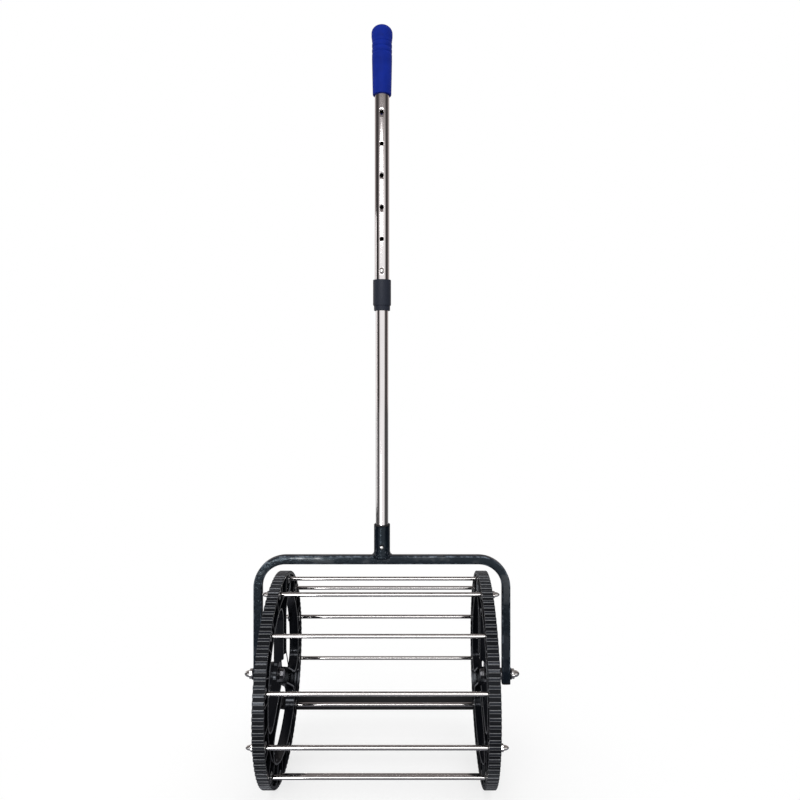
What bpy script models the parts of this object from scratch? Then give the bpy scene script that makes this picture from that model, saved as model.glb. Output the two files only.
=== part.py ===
"""Ball roller collector: a cage of steel rods between two toothed wheels, rolled by a long handle.

The drum turns on two axle bolts in a bent square tube. A telescopic pole stands in a socket
welded on that tube. +Z is up, X runs along the drum's axis, and the front of the drum faces -Y.
The origin is on the floor, under the middle of the drum.
"""
import math

import bmesh
import bpy
from mathutils import Matrix, Vector

MM = 0.001

# Clearances
CLEARANCE = 0.3 * MM
OVERCUT = 1.0 * MM
EMBED = 0.6 * MM

# Wheels
WHEEL_RADIUS = 150.0 * MM
WHEEL_WIDTH = 16.0 * MM
DRUM_INNER_WIDTH = 295.0 * MM
TOOTH_COUNT = 96
TOOTH_HEIGHT = 2.0 * MM
TOOTH_TIP_SHARE = 0.46
TOOTH_ROOT_SHARE = 0.64
RIM_WALL = 3.0 * MM
WHEEL_WEB = 2.5 * MM
WHEEL_WALL = 2.5 * MM
RIM_BAND = 30.5 * MM
RIB_THICKNESS = 1.6 * MM
STEP_DOWN = 0.5 * MM
OPENING_CORNER = 25.0 * MM
OPENING_HUB_CORNER = 6.0 * MM
SPOKE_ANGLES = (90.0, -30.0, -150.0)
SPOKE_HALF_WIDTH = 12.0 * MM
CHORD_RIB_DISTANCE = 68.0 * MM
CHORD_RIB_WIDTH = 2.5 * MM
SPOKE_STUB_RADIUS = 57.0 * MM
STUB_RADIUS = 4.0 * MM
STUB_HEIGHT = 5.0 * MM
STUB_SLOT = 1.8 * MM
LUG_RADIUS = 5.5 * MM
LUG_THICKNESS = 3.0 * MM
LUG_HOLE_RADIUS = 2.2 * MM
LUG_HOLE_INSET = 4.4 * MM
LUG_TURN = 7.0

# Hubs and axle bolts
HUB_RADIUS = 17.0 * MM
HUB_STEP_RADIUS = 22.0 * MM
HUB_INNER_HEIGHT = 3.5 * MM
HUB_OUTER_HEIGHT = 6.5 * MM
BOLT_RADIUS = 4.0 * MM
BOLT_HEAD_FLATS = 13.0 * MM
BOLT_HEAD_HEIGHT = 5.3 * MM
WASHER_RADIUS = 8.5 * MM
WASHER_THICKNESS = 1.5 * MM
ARM_WASHER_THICKNESS = 2.1 * MM
SPACER_RADIUS = 7.0 * MM
AXLE_NUT_FLATS = 13.0 * MM
AXLE_NUT_HEIGHT = 12.0 * MM
NUT_HEX_SHARE = 0.36
NUT_BORE_SHARE = 0.32
NUT_DOME_SHARE = 0.76

# Rods
ROD_COUNT = 12
ROD_INSET = 12.0 * MM
ROD_FIRST_ANGLE = 105.0
ROD_RADIUS = 3.0 * MM
TIE_ROD_RADIUS = 3.25 * MM
TIE_EVERY = 3
TIE_FIRST = 1
SEAT_RADIUS = 7.5 * MM
SEAT_DEPTH = 11.0 * MM
TIE_NUT_FLATS = 9.0 * MM
TIE_NUT_HEIGHT = 11.0 * MM

# Bail
BAIL_TUBE = 13.0 * MM
BAIL_TUBE_WALL = 1.2 * MM
BAIL_TUBE_CORNER = 2.5 * MM
BAIL_DRUM_GAP = 18.1 * MM
BAIL_BEND_RADIUS = 42.0 * MM
BAIL_END_DROP = 12.0 * MM
PLUG_FLANGE = 1.6 * MM
PLUG_STEM = 6.0 * MM

# Brace behind the drum
BRACE_WIDTH = 22.0 * MM
BRACE_THICKNESS = 3.0 * MM
BRACE_DRUM_GAP = 13.5 * MM
BRACE_ANGLE = -139.0
BRACE_BEND_RADIUS = 9.0 * MM
BRACE_NUT_CLEARANCE = 2.0 * MM

# Pole
SOCKET_RADIUS = 12.2 * MM
SOCKET_WALL = 1.3 * MM
SOCKET_LENGTH = 45.5 * MM
SOCKET_SADDLE = 4.0 * MM
WELD_BEAD = 1.6 * MM
WELD_HEIGHT = 6.0 * MM
BUSH_LIP = 1.5 * MM
LOWER_TUBE_RADIUS = 9.5 * MM
TUBE_WALL = 1.2 * MM
LOWER_TUBE_LENGTH = 458.0 * MM
UPPER_TUBE_RADIUS = 11.0 * MM
UPPER_TUBE_LENGTH = 427.0 * MM
COLLAR_BOTTOM = 554.0 * MM
COLLAR_LENGTH = 47.0 * MM
COLLAR_RADIUS = 13.7 * MM
COLLAR_LIP_RADIUS = 12.4 * MM
COLLAR_LIP_LENGTH = 8.0 * MM
COLLAR_FLOOR = 2.0 * MM
HOLE_COUNT = 6
HOLE_PITCH = 48.0 * MM
BUTTON_RADIUS = 2.9 * MM
BUTTON_REACH = 2.2 * MM
BUTTON_CROWN_RADIUS = 2.0 * MM
BUTTON_CROWN_DROP = 0.35 * MM
BUTTON_FLANGE_RADIUS = 4.2 * MM
BUTTON_FLANGE = 1.0 * MM
TELESCOPE_BUTTON_HEIGHT = 614.0 * MM
SOCKET_BUTTON_ABOVE_BAR = 15.0 * MM
SPRING_THICKNESS = 0.6 * MM
SPRING_WIDTH = 6.0 * MM
SPRING_LENGTH = 34.0 * MM
SPRING_TAIL = 6.0 * MM

# Grip
GRIP_LENGTH = 107.0 * MM
GRIP_HEAD_RADIUS = 16.1 * MM
GRIP_HEAD_LENGTH = 17.5 * MM
GRIP_BODY_RADIUS = 15.3 * MM
GRIP_END_RADIUS = 14.2 * MM
GRIP_DOME = 13.0 * MM
GRIP_ROOF = 6.0 * MM
GRIP_LIP = 2.0 * MM
GRIP_GROOVE_DEPTH = 0.7 * MM
GRIP_GROOVE_PITCH = 7.8 * MM
GRIP_GROOVE_COUNT = 3
GRIP_GROOVE_BELOW_TOP = 28.0 * MM

# Places and angles that follow from the sizes
ROD_STEP = 360.0 / ROD_COUNT
SPOKE_STEP = 360.0 / len(SPOKE_ANGLES)
AXLE_HEIGHT = WHEEL_RADIUS
WHEEL_INNER_FACE = DRUM_INNER_WIDTH / 2
WHEEL_OUTER_FACE = WHEEL_INNER_FACE + WHEEL_WIDTH
POCKET_RADIUS = WHEEL_RADIUS - TOOTH_HEIGHT - RIM_WALL
INNER_WALL_RADIUS = WHEEL_RADIUS - RIM_BAND
ROD_CIRCLE_RADIUS = WHEEL_RADIUS - ROD_INSET
OPENING_RADIUS = INNER_WALL_RADIUS - WHEEL_WALL
TIE_NUT_END = WHEEL_OUTER_FACE + CLEARANCE + TIE_NUT_HEIGHT
BRACE_INNER_FACE = TIE_NUT_END + BRACE_NUT_CLEARANCE
BRACE_OUTER_FACE = BRACE_INNER_FACE + BRACE_THICKNESS
BRACE_RADIUS = WHEEL_RADIUS + BRACE_DRUM_GAP + BRACE_THICKNESS / 2
BAIL_INNER_FACE = BRACE_OUTER_FACE + ARM_WASHER_THICKNESS + 2 * CLEARANCE
BAIL_CENTRE = BAIL_INNER_FACE + BAIL_TUBE / 2
BAIL_OUTER_FACE = BAIL_INNER_FACE + BAIL_TUBE
BAIL_BAR_HEIGHT = WHEEL_RADIUS + BAIL_DRUM_GAP + BAIL_TUBE / 2
BAR_TOP = AXLE_HEIGHT + BAIL_BAR_HEIGHT + BAIL_TUBE / 2
HUB_END = WHEEL_OUTER_FACE + HUB_OUTER_HEIGHT
WEB_HIGH = WHEEL_WIDTH - STEP_DOWN
WEB_LOW = WEB_HIGH - WHEEL_WEB
WALL_HIGH = WEB_HIGH - STEP_DOWN
HUB_LOW = WEB_LOW - HUB_INNER_HEIGHT
UPPER_TUBE_BOTTOM = AXLE_HEIGHT + COLLAR_BOTTOM + COLLAR_FLOOR + CLEARANCE
UPPER_TUBE_TOP = UPPER_TUBE_BOTTOM + UPPER_TUBE_LENGTH
LOWER_TUBE_BOTTOM = BAR_TOP + CLEARANCE
BUTTON_HEIGHT = AXLE_HEIGHT + TELESCOPE_BUTTON_HEIGHT
SOCKET_BUTTON_HEIGHT = BAR_TOP + SOCKET_BUTTON_ABOVE_BAR

# Faces of round pieces
POCKET_SIDES = TOOTH_COUNT // 2
TUBE_SIDES = 24
RING_SIDES = 16
ROD_SIDES = 12
SMALL_SIDES = 12
STUB_SIDES = 8
NUT_STEPS = 3
GRIP_STEPS = 6
ARC_STEP = 15.0
MERGE_DISTANCE = 0.001 * MM
FLAT_ANGLE = math.radians(0.1)

parts = None
cutters = None


def start_scene():
    """Empty the scene and make the collections for the parts and the cutters."""
    global parts, cutters
    for thing in list(bpy.data.objects):
        bpy.data.objects.remove(thing, do_unlink=True)
    parts = bpy.data.collections.new("ball_roller_collector")
    cutters = bpy.data.collections.new("cutters")
    bpy.context.scene.collection.children.link(parts)
    bpy.context.scene.collection.children.link(cutters)


def material(name, colour, roughness, metallic=0.0):
    """Return a Principled material, made once under its name."""
    found = bpy.data.materials.get(name)
    if found:
        return found
    made = bpy.data.materials.new(name)
    made.use_nodes = True
    shader = made.node_tree.nodes["Principled BSDF"]
    shader.inputs["Base Color"].default_value = (*colour, 1.0)
    shader.inputs["Roughness"].default_value = roughness
    shader.inputs["Metallic"].default_value = metallic
    return made


def black_plastic():
    return material("black_plastic", (0.012, 0.012, 0.014), 0.22)


def chrome():
    return material("chrome", (0.62, 0.61, 0.60), 0.16, 1.0)


def painted_steel():
    return material("painted_steel", (0.010, 0.016, 0.030), 0.18)


def black_steel():
    return material("black_steel", (0.010, 0.010, 0.012), 0.35)


def collar_plastic():
    return material("collar_plastic", (0.030, 0.040, 0.060), 0.45)


def grip_rubber():
    return material("grip_rubber", (0.008, 0.025, 0.36), 0.6)


def spring_steel():
    return material("spring_steel", (0.45, 0.45, 0.47), 0.3, 1.0)


def link(thing, finish, collection):
    """Put an object in a collection, with its material."""
    collection.objects.link(thing)
    if finish:
        thing.data.materials.clear()
        thing.data.materials.append(finish)
    return thing


def place_object(thing, matrix):
    thing.matrix_world = matrix
    return thing


def shade(mesh, angle=35.0):
    mesh.shade_smooth()
    mesh.set_sharp_from_angle(angle=math.radians(angle))


def scratch(name, mesh):
    """An object for building only, in the cutters collection."""
    thing = bpy.data.objects.new(name, mesh)
    cutters.objects.link(thing)
    thing.hide_render = True
    thing.display_type = "WIRE"
    return thing


def evaluated_mesh(thing, name):
    """The object's mesh with its modifiers applied, its caps welded and its flat faces joined."""
    graph = bpy.context.evaluated_depsgraph_get()
    graph.update()
    mesh = bpy.data.meshes.new_from_object(thing.evaluated_get(graph), depsgraph=graph)
    mesh.name = name
    edit = bmesh.new()
    edit.from_mesh(mesh)
    bmesh.ops.remove_doubles(edit, verts=edit.verts, dist=MERGE_DISTANCE)
    bmesh.ops.dissolve_limit(edit, angle_limit=FLAT_ANGLE, verts=edit.verts, edges=edit.edges)
    edit.to_mesh(mesh)
    edit.free()
    return mesh


def add_boolean(thing, other, operation):
    step = thing.modifiers.new(operation.lower(), "BOOLEAN")
    step.operation = operation
    step.solver = "EXACT"
    step.object = other


def combined(name, base, joins=(), cuts=()):
    """Join and cut building objects into one mesh, and remove them."""
    for other in joins:
        add_boolean(base, other, "UNION")
    for other in cuts:
        add_boolean(base, other, "DIFFERENCE")
    mesh = evaluated_mesh(base, name)
    for other in (base, *joins, *cuts):
        bpy.data.objects.remove(other, do_unlink=True)
    return mesh


def flat_shape(name, outlines, low, high):
    """A flat outline, with holes, in the local XY plane from height low to high."""
    curve = bpy.data.curves.new(name, "CURVE")
    curve.dimensions = "2D"
    curve.fill_mode = "BOTH"
    curve.extrude = (high - low) / 2
    for outline in outlines:
        spline = curve.splines.new("POLY")
        spline.points.add(len(outline) - 1)
        for point, (x, y) in zip(spline.points, outline):
            point.co = (x, y, 0.0, 1.0)
        spline.use_cyclic_u = True
    drawn = scratch(name, curve)
    mesh = evaluated_mesh(drawn, name)
    bpy.data.objects.remove(drawn, do_unlink=True)
    mesh.transform(Matrix.Translation((0.0, 0.0, (low + high) / 2)))
    return scratch(name, mesh)


def circle(radius, sides):
    """A regular outline round the origin."""
    return [polar(radius, 360.0 * i / sides) for i in range(sides)]


def arc(centre, radius, start, end):
    """Points on an arc from start to end in degrees, no further apart than the arc step."""
    count = max(2, math.ceil(abs(end - start) / ARC_STEP) + 1)
    points = []
    for i in range(count):
        angle = math.radians(start + (end - start) * i / (count - 1))
        points.append((centre[0] + radius * math.cos(angle), centre[1] + radius * math.sin(angle)))
    return points


def polar(radius, degrees):
    """The point at a radius and an angle."""
    angle = math.radians(degrees)
    return radius * math.cos(angle), radius * math.sin(angle)


def prism(name, sides, radius, low, high, centres=((0.0, 0.0),)):
    """Upright prisms with regular outlines, one at each centre, as one building object."""
    mesh = bpy.data.meshes.new(name)
    edit = bmesh.new()
    for x, y in centres:
        made = bmesh.ops.create_cone(
            edit, cap_ends=True, segments=sides, radius1=radius, radius2=radius, depth=high - low
        )
        bmesh.ops.translate(edit, verts=made["verts"], vec=(x, y, (low + high) / 2))
    edit.to_mesh(mesh)
    edit.free()
    return scratch(name, mesh)


def boxes(name, items):
    """Boxes as one building object: each is a length, width, low, high, distance and angle.

    A box's length runs along the direction at its angle, from its distance outwards.
    """
    mesh = bpy.data.meshes.new(name)
    edit = bmesh.new()
    for length, width, low, high, distance, degrees in items:
        made = bmesh.ops.create_cube(edit, size=1.0)
        bmesh.ops.scale(edit, verts=made["verts"], vec=(length, width, high - low))
        middle = (distance + length / 2, 0.0, (low + high) / 2)
        bmesh.ops.translate(edit, verts=made["verts"], vec=middle)
        turn = Matrix.Rotation(math.radians(degrees), 3, "Z")
        bmesh.ops.rotate(edit, verts=made["verts"], matrix=turn)
    edit.to_mesh(mesh)
    edit.free()
    return scratch(name, mesh)


def turned_object(name, profile, sides, closed, collection, finish=None):
    """A profile of radius and height, turned about local Z by a Screw modifier."""
    mesh = bpy.data.meshes.new(name)
    count = len(profile)
    edges = [(i, i + 1) for i in range(count - 1)]
    if closed:
        edges.append((count - 1, 0))
    mesh.from_pydata([(radius, 0.0, height) for radius, height in profile], edges, [])
    thing = bpy.data.objects.new(name, mesh)
    link(thing, finish, collection)
    screw = thing.modifiers.new("turn", "SCREW")
    screw.axis = "Z"
    screw.steps = sides
    screw.render_steps = sides
    screw.use_merge_vertices = True
    screw.merge_threshold = MERGE_DISTANCE
    screw.use_smooth_shade = True
    return thing


def ring_profile(inner, outer, low, high):
    """The section of a plain ring, down its outer side and up its bore."""
    return [(outer, high), (outer, low), (inner, low), (inner, high)]


def finished(name, mesh, finish, matrix=None):
    """A part made of a ready mesh."""
    thing = bpy.data.objects.new(name, mesh)
    link(thing, finish, parts)
    shade(mesh)
    if matrix:
        place_object(thing, matrix)
    return thing


def rod_angles(tied):
    """Angles of the tie rods, or of the plain rods, from the front upwards."""
    return [
        ROD_FIRST_ANGLE - ROD_STEP * i
        for i in range(ROD_COUNT)
        if (i % TIE_EVERY == TIE_FIRST) == tied
    ]


def tooth_outline():
    """The wheel's toothed outline. Each tooth has a flat land square to its own radius."""
    pitch = 360.0 / TOOTH_COUNT
    half_tip = pitch * TOOTH_TIP_SHARE / 2
    half_root = pitch * TOOTH_ROOT_SHARE / 2
    tip = WHEEL_RADIUS / math.cos(math.radians(half_tip))
    root = WHEEL_RADIUS - TOOTH_HEIGHT
    points = []
    for i in range(TOOTH_COUNT):
        middle = pitch * i
        points.append(polar(root, middle - half_root))
        points.append(polar(tip, middle - half_tip))
        points.append(polar(tip, middle + half_tip))
        points.append(polar(root, middle + half_root))
    return points


def opening_outline(spoke_angle, wall):
    """The opening after a spoke, grown by a wall: two straight sides, a round end at each
    outer corner, and a short arc round the hub."""
    outer = OPENING_RADIUS + wall
    corner = OPENING_CORNER + wall
    inner = HUB_STEP_RADIUS - wall
    hub_corner = OPENING_HUB_CORNER + wall
    side = SPOKE_HALF_WIDTH - wall
    span = SPOKE_STEP
    corner_angle = math.degrees(math.asin((side + corner) / (outer - corner)))
    hub_angle = math.degrees(math.asin((side + hub_corner) / (inner + hub_corner)))
    points = []
    points += arc(polar(outer - corner, corner_angle), corner, -90.0, corner_angle)
    points += arc((0.0, 0.0), outer, corner_angle, span - corner_angle)[1:-1]
    far_corner = polar(outer - corner, span - corner_angle)
    points += arc(far_corner, corner, span - corner_angle, span + 90.0)
    far_hub = polar(inner + hub_corner, span - hub_angle)
    points += arc(far_hub, hub_corner, span + 90.0, span + 180.0 - hub_angle)
    points += arc((0.0, 0.0), inner, span - hub_angle, hub_angle)[1:-1]
    points += arc(polar(inner + hub_corner, hub_angle), hub_corner, hub_angle + 180.0, 270.0)
    turn = math.radians(spoke_angle)
    return [
        (x * math.cos(turn) - y * math.sin(turn), x * math.sin(turn) + y * math.cos(turn))
        for x, y in points
    ]


def wheel_body():
    """A wheel before its hub is added: toothed rim, web near its outer face, walls and ribs.

    Local X is the front, local Y is up and local Z points out of the drum.
    """
    openings = [angle + SPOKE_STEP / 2 for angle in SPOKE_ANGLES]
    rods = rod_angles(False) + rod_angles(True)
    rib_start = INNER_WALL_RADIUS - EMBED
    rib_length = POCKET_RADIUS + EMBED - rib_start

    pocket = circle(POCKET_RADIUS, POCKET_SIDES)
    rim = flat_shape("rim", [tooth_outline(), pocket], 0.0, WHEEL_WIDTH)
    disc = circle(POCKET_RADIUS + EMBED, POCKET_SIDES)
    holes = [opening_outline(angle, 0.0) for angle in SPOKE_ANGLES]
    web = flat_shape("web", [disc, *holes], WEB_LOW, WEB_HIGH)
    wall_outlines = []
    for angle in SPOKE_ANGLES:
        wall_outlines.append(opening_outline(angle, WHEEL_WALL))
        wall_outlines.append(opening_outline(angle, -EMBED / 2))
    walls = flat_shape("walls", wall_outlines, STEP_DOWN, WALL_HIGH)

    rib_items = [
        (rib_length, RIB_THICKNESS, 2 * STEP_DOWN, WEB_HIGH - 2 * STEP_DOWN, rib_start, angle + turn)
        for angle in rods
        for turn in (-ROD_STEP / 4, ROD_STEP / 4)
    ]
    ribs = boxes("ribs", rib_items)
    tie_length = 2 * (OPENING_CORNER + SPOKE_HALF_WIDTH)
    tie_start = rib_start - WHEEL_WALL
    tie_items = [
        (WHEEL_WALL, tie_length, 3 * STEP_DOWN, WEB_HIGH - 3 * STEP_DOWN, tie_start, angle)
        for angle in SPOKE_ANGLES
    ]
    spoke_ties = boxes("spoke_ties", tie_items)
    half_chord = CHORD_RIB_DISTANCE * math.tan(math.radians(SPOKE_STEP / 2)) - SPOKE_HALF_WIDTH
    chord_high = WALL_HIGH - EMBED / 2
    chord_items = [
        (CHORD_RIB_WIDTH, 2 * half_chord, WEB_LOW + EMBED, chord_high, CHORD_RIB_DISTANCE, angle)
        for angle in openings
    ]
    chords = boxes("chords", chord_items)

    seat_centres = [polar(ROD_CIRCLE_RADIUS, angle) for angle in rods]
    seat_high = WALL_HIGH - STEP_DOWN / 2
    seats = prism("seats", SMALL_SIDES, SEAT_RADIUS, 1.5 * STEP_DOWN, seat_high, seat_centres)
    stub_centres = [polar(SPOKE_STUB_RADIUS, angle) for angle in SPOKE_ANGLES]
    stub_high = WHEEL_WIDTH + STUB_HEIGHT
    stubs = prism("stubs", STUB_SIDES, STUB_RADIUS, WEB_LOW + EMBED, stub_high, stub_centres)
    lug_centres = [polar(OPENING_RADIUS - LUG_RADIUS / 2, angle + LUG_TURN) for angle in openings]
    lug_high = WALL_HIGH - EMBED / 3
    lugs = prism("lugs", SMALL_SIDES, LUG_RADIUS, WALL_HIGH - LUG_THICKNESS, lug_high, lug_centres)

    hollow_radius = HUB_STEP_RADIUS + WHEEL_WALL
    hub_hollow = prism("hub_hollow", TUBE_SIDES, hollow_radius, -OVERCUT, HUB_LOW)
    joins = (web, walls, ribs, spoke_ties, seats, chords, stubs, lugs)
    return scratch("wheel_body", combined("wheel_body", rim, joins, (hub_hollow,)))


def wheel_mesh():
    """One moulded wheel, with its hub, bolt bore, rod holes, stub slots and lug holes."""
    hub_end = WHEEL_WIDTH + HUB_OUTER_HEIGHT
    hub = prism("hub", TUBE_SIDES, HUB_RADIUS, HUB_LOW, hub_end)
    bore = prism("bore", RING_SIDES, BOLT_RADIUS + CLEARANCE, -OVERCUT, hub_end + OVERCUT)

    plain_centres = [polar(ROD_CIRCLE_RADIUS, angle) for angle in rod_angles(False)]
    plain_top = SEAT_DEPTH + CLEARANCE
    plain = prism("plain", ROD_SIDES, ROD_RADIUS + CLEARANCE, -OVERCUT, plain_top, plain_centres)
    tied_centres = [polar(ROD_CIRCLE_RADIUS, angle) for angle in rod_angles(True)]
    tied_top = WHEEL_WIDTH + OVERCUT
    tied = prism("tied", ROD_SIDES, TIE_ROD_RADIUS + CLEARANCE, -OVERCUT, tied_top, tied_centres)

    slot_low = WHEEL_WIDTH + STEP_DOWN
    slot_high = WHEEL_WIDTH + STUB_HEIGHT + OVERCUT
    slot_start = SPOKE_STUB_RADIUS - 2 * STUB_RADIUS
    slot_items = [
        (4 * STUB_RADIUS, STUB_SLOT, slot_low, slot_high, slot_start, angle)
        for angle in SPOKE_ANGLES
    ]
    slots = boxes("slots", slot_items)
    lug_hole_centres = [
        polar(OPENING_RADIUS - LUG_HOLE_INSET, angle + SPOKE_STEP / 2 + LUG_TURN)
        for angle in SPOKE_ANGLES
    ]
    lug_low = WEB_LOW - LUG_THICKNESS
    lug_holes = prism("lug_holes", STUB_SIDES, LUG_HOLE_RADIUS, lug_low, tied_top, lug_hole_centres)
    return combined("wheel", wheel_body(), (hub,), (bore, plain, tied, slots, lug_holes))


def make_wheels():
    """The left wheel, and the right one as its mirror image."""
    front = Vector((0.0, -1.0, 0.0))
    up = Vector((0.0, 0.0, 1.0))
    turn = Matrix((front, up, front.cross(up))).transposed().to_4x4()
    mesh = wheel_mesh()
    mesh.transform(Matrix.Translation((-WHEEL_INNER_FACE, 0.0, 0.0)) @ turn)
    other = mesh.copy()
    other.transform(Matrix.Diagonal((-1.0, 1.0, 1.0, 1.0)))
    other.flip_normals()
    axle = Matrix.Translation((0.0, 0.0, AXLE_HEIGHT))
    finished("left_wheel", mesh, black_plastic(), axle)
    finished("right_wheel", other, black_plastic(), axle)


def drum_point(radius, degrees):
    """World Y and Z of a point of the drum, at an angle from the front upwards."""
    y, z = polar(radius, degrees)
    return -y, AXLE_HEIGHT + z


def make_rod(name, degrees, radius, half_length):
    """A straight rod with small bevels at both ends, parallel to the axle."""
    mesh = bpy.data.meshes.new(name)
    edit = bmesh.new()
    bmesh.ops.create_cone(
        edit, cap_ends=True, segments=ROD_SIDES, radius1=radius, radius2=radius, depth=2 * half_length
    )
    bmesh.ops.rotate(edit, verts=edit.verts, matrix=Matrix.Rotation(math.radians(90.0), 3, "Y"))
    edit.to_mesh(mesh)
    edit.free()
    y, z = drum_point(ROD_CIRCLE_RADIUS, degrees)
    return finished(name, mesh, chrome(), Matrix.Translation((0.0, y, z)))


def dome_nut_mesh(name, flats, height, bore_radius):
    """A closed nut: a hexagon and a dome, with a blind bore that starts at local Z 0."""
    bore_depth = height * NUT_BORE_SHARE + CLEARANCE
    hex_height = height * NUT_HEX_SHARE
    hexagon = prism("hexagon", 6, flats / math.sqrt(3.0), 0.0, hex_height)
    dome_radius = flats / 2 * NUT_DOME_SHARE
    dome_rise = height - hex_height
    profile = [(0.0, height)]
    for i in range(1, NUT_STEPS + 1):
        angle = math.radians(90.0 * i / NUT_STEPS)
        profile.append((dome_radius * math.sin(angle), hex_height + dome_rise * math.cos(angle)))
    profile.append((dome_radius, hex_height / 2))
    profile.append((0.0, hex_height / 2))
    dome = turned_object("dome", profile, SMALL_SIDES, False, cutters)
    dome_mesh = evaluated_mesh(dome, "dome")
    bpy.data.objects.remove(dome, do_unlink=True)
    dome_solid = scratch("dome", dome_mesh)
    bore = prism("nut_bore", ROD_SIDES, bore_radius, -OVERCUT, bore_depth)
    return combined(name, hexagon, joins=(dome_solid,), cuts=(bore,))


def side_out_matrix(side, x, y=0.0, z=AXLE_HEIGHT):
    """Local Z points out of the drum on that side, from the plane at distance x."""
    turn = Matrix.Rotation(math.radians(90.0 * side), 4, "Y")
    return Matrix.Translation((side * x, y, z)) @ turn


def make_ring(name, side, start, end, outer):
    """A washer or spacer on the axle bolt, between two distances from the drum's middle."""
    inner = BOLT_RADIUS + CLEARANCE
    profile = ring_profile(inner, outer, 0.0, end - start)
    ring = turned_object(name, profile, RING_SIDES, True, parts, chrome())
    return place_object(ring, side_out_matrix(side, start))


def make_axle_set(side):
    """Bolt, spacer, washers and closed nut on one side."""
    word = "left" if side < 0 else "right"
    washer_end = WHEEL_INNER_FACE + HUB_LOW - CLEARANCE
    washer_start = washer_end - WASHER_THICKNESS
    make_ring(f"{word}_head_washer", side, washer_start, washer_end, WASHER_RADIUS)

    head_start = washer_start - CLEARANCE - BOLT_HEAD_HEIGHT
    outer_washer_start = BAIL_OUTER_FACE + CLEARANCE
    outer_washer_end = outer_washer_start + WASHER_THICKNESS
    nut_start = outer_washer_end + CLEARANCE
    nut_grip = AXLE_NUT_HEIGHT * NUT_BORE_SHARE
    bolt_length = nut_start + nut_grip - head_start
    head = prism("head", 6, BOLT_HEAD_FLATS / math.sqrt(3.0), 0.0, BOLT_HEAD_HEIGHT)
    shank = prism("shank", RING_SIDES, BOLT_RADIUS, BOLT_HEAD_HEIGHT / 2, bolt_length)
    bolt = combined("axle_bolt", head, (shank,))
    finished(f"{word}_axle_bolt", bolt, chrome(), side_out_matrix(side, head_start))

    spacer_start = HUB_END + CLEARANCE
    spacer_end = BRACE_INNER_FACE - CLEARANCE
    make_ring(f"{word}_hub_spacer", side, spacer_start, spacer_end, SPACER_RADIUS)
    arm_washer_start = BRACE_OUTER_FACE + CLEARANCE
    arm_washer_end = BAIL_INNER_FACE - CLEARANCE
    make_ring(f"{word}_arm_washer", side, arm_washer_start, arm_washer_end, WASHER_RADIUS)
    make_ring(f"{word}_nut_washer", side, outer_washer_start, outer_washer_end, WASHER_RADIUS)
    nut = dome_nut_mesh("axle_nut", AXLE_NUT_FLATS, AXLE_NUT_HEIGHT, BOLT_RADIUS + CLEARANCE)
    finished(f"{word}_axle_nut", nut, chrome(), side_out_matrix(side, nut_start))


def make_drum():
    make_wheels()
    plain_half = WHEEL_INNER_FACE + SEAT_DEPTH
    for number, degrees in enumerate(rod_angles(False), 1):
        make_rod(f"plain_rod_{number}", degrees, ROD_RADIUS, plain_half)
    tie_half = WHEEL_OUTER_FACE + CLEARANCE + TIE_NUT_HEIGHT * NUT_BORE_SHARE
    nut = dome_nut_mesh("tie_nut", TIE_NUT_FLATS, TIE_NUT_HEIGHT, TIE_ROD_RADIUS + CLEARANCE)
    for number, degrees in enumerate(rod_angles(True), 1):
        make_rod(f"tie_rod_{number}", degrees, TIE_ROD_RADIUS, tie_half)
        y, z = drum_point(ROD_CIRCLE_RADIUS, degrees)
        for side, word in ((-1, "left"), (1, "right")):
            where = side_out_matrix(side, WHEEL_OUTER_FACE + CLEARANCE, y, z)
            finished(f"tie_nut_{word}_{number}", nut, chrome(), where)


def rounded_square(size, corner, count=3):
    """A square outline with round corners, centred on the origin."""
    half = size / 2 - corner
    points = []
    for quarter in range(4):
        x, y = polar(half * math.sqrt(2.0), 45.0 + 90.0 * quarter)
        for i in range(count):
            px, py = polar(corner, 90.0 * quarter + 90.0 * i / (count - 1))
            points.append((x + px, y + py))
    return points


def bail_path():
    """The bail's centre line: up one side, round a bend, along the bar and down again."""
    low = AXLE_HEIGHT - BAIL_END_DROP
    high = AXLE_HEIGHT + BAIL_BAR_HEIGHT
    bend = BAIL_BEND_RADIUS
    right_bend = arc((BAIL_CENTRE - bend, high - bend), bend, 0.0, 90.0)
    right = [(BAIL_CENTRE, low), *right_bend]
    left = [(-x, z) for x, z in reversed(right)]
    return right + left


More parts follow.
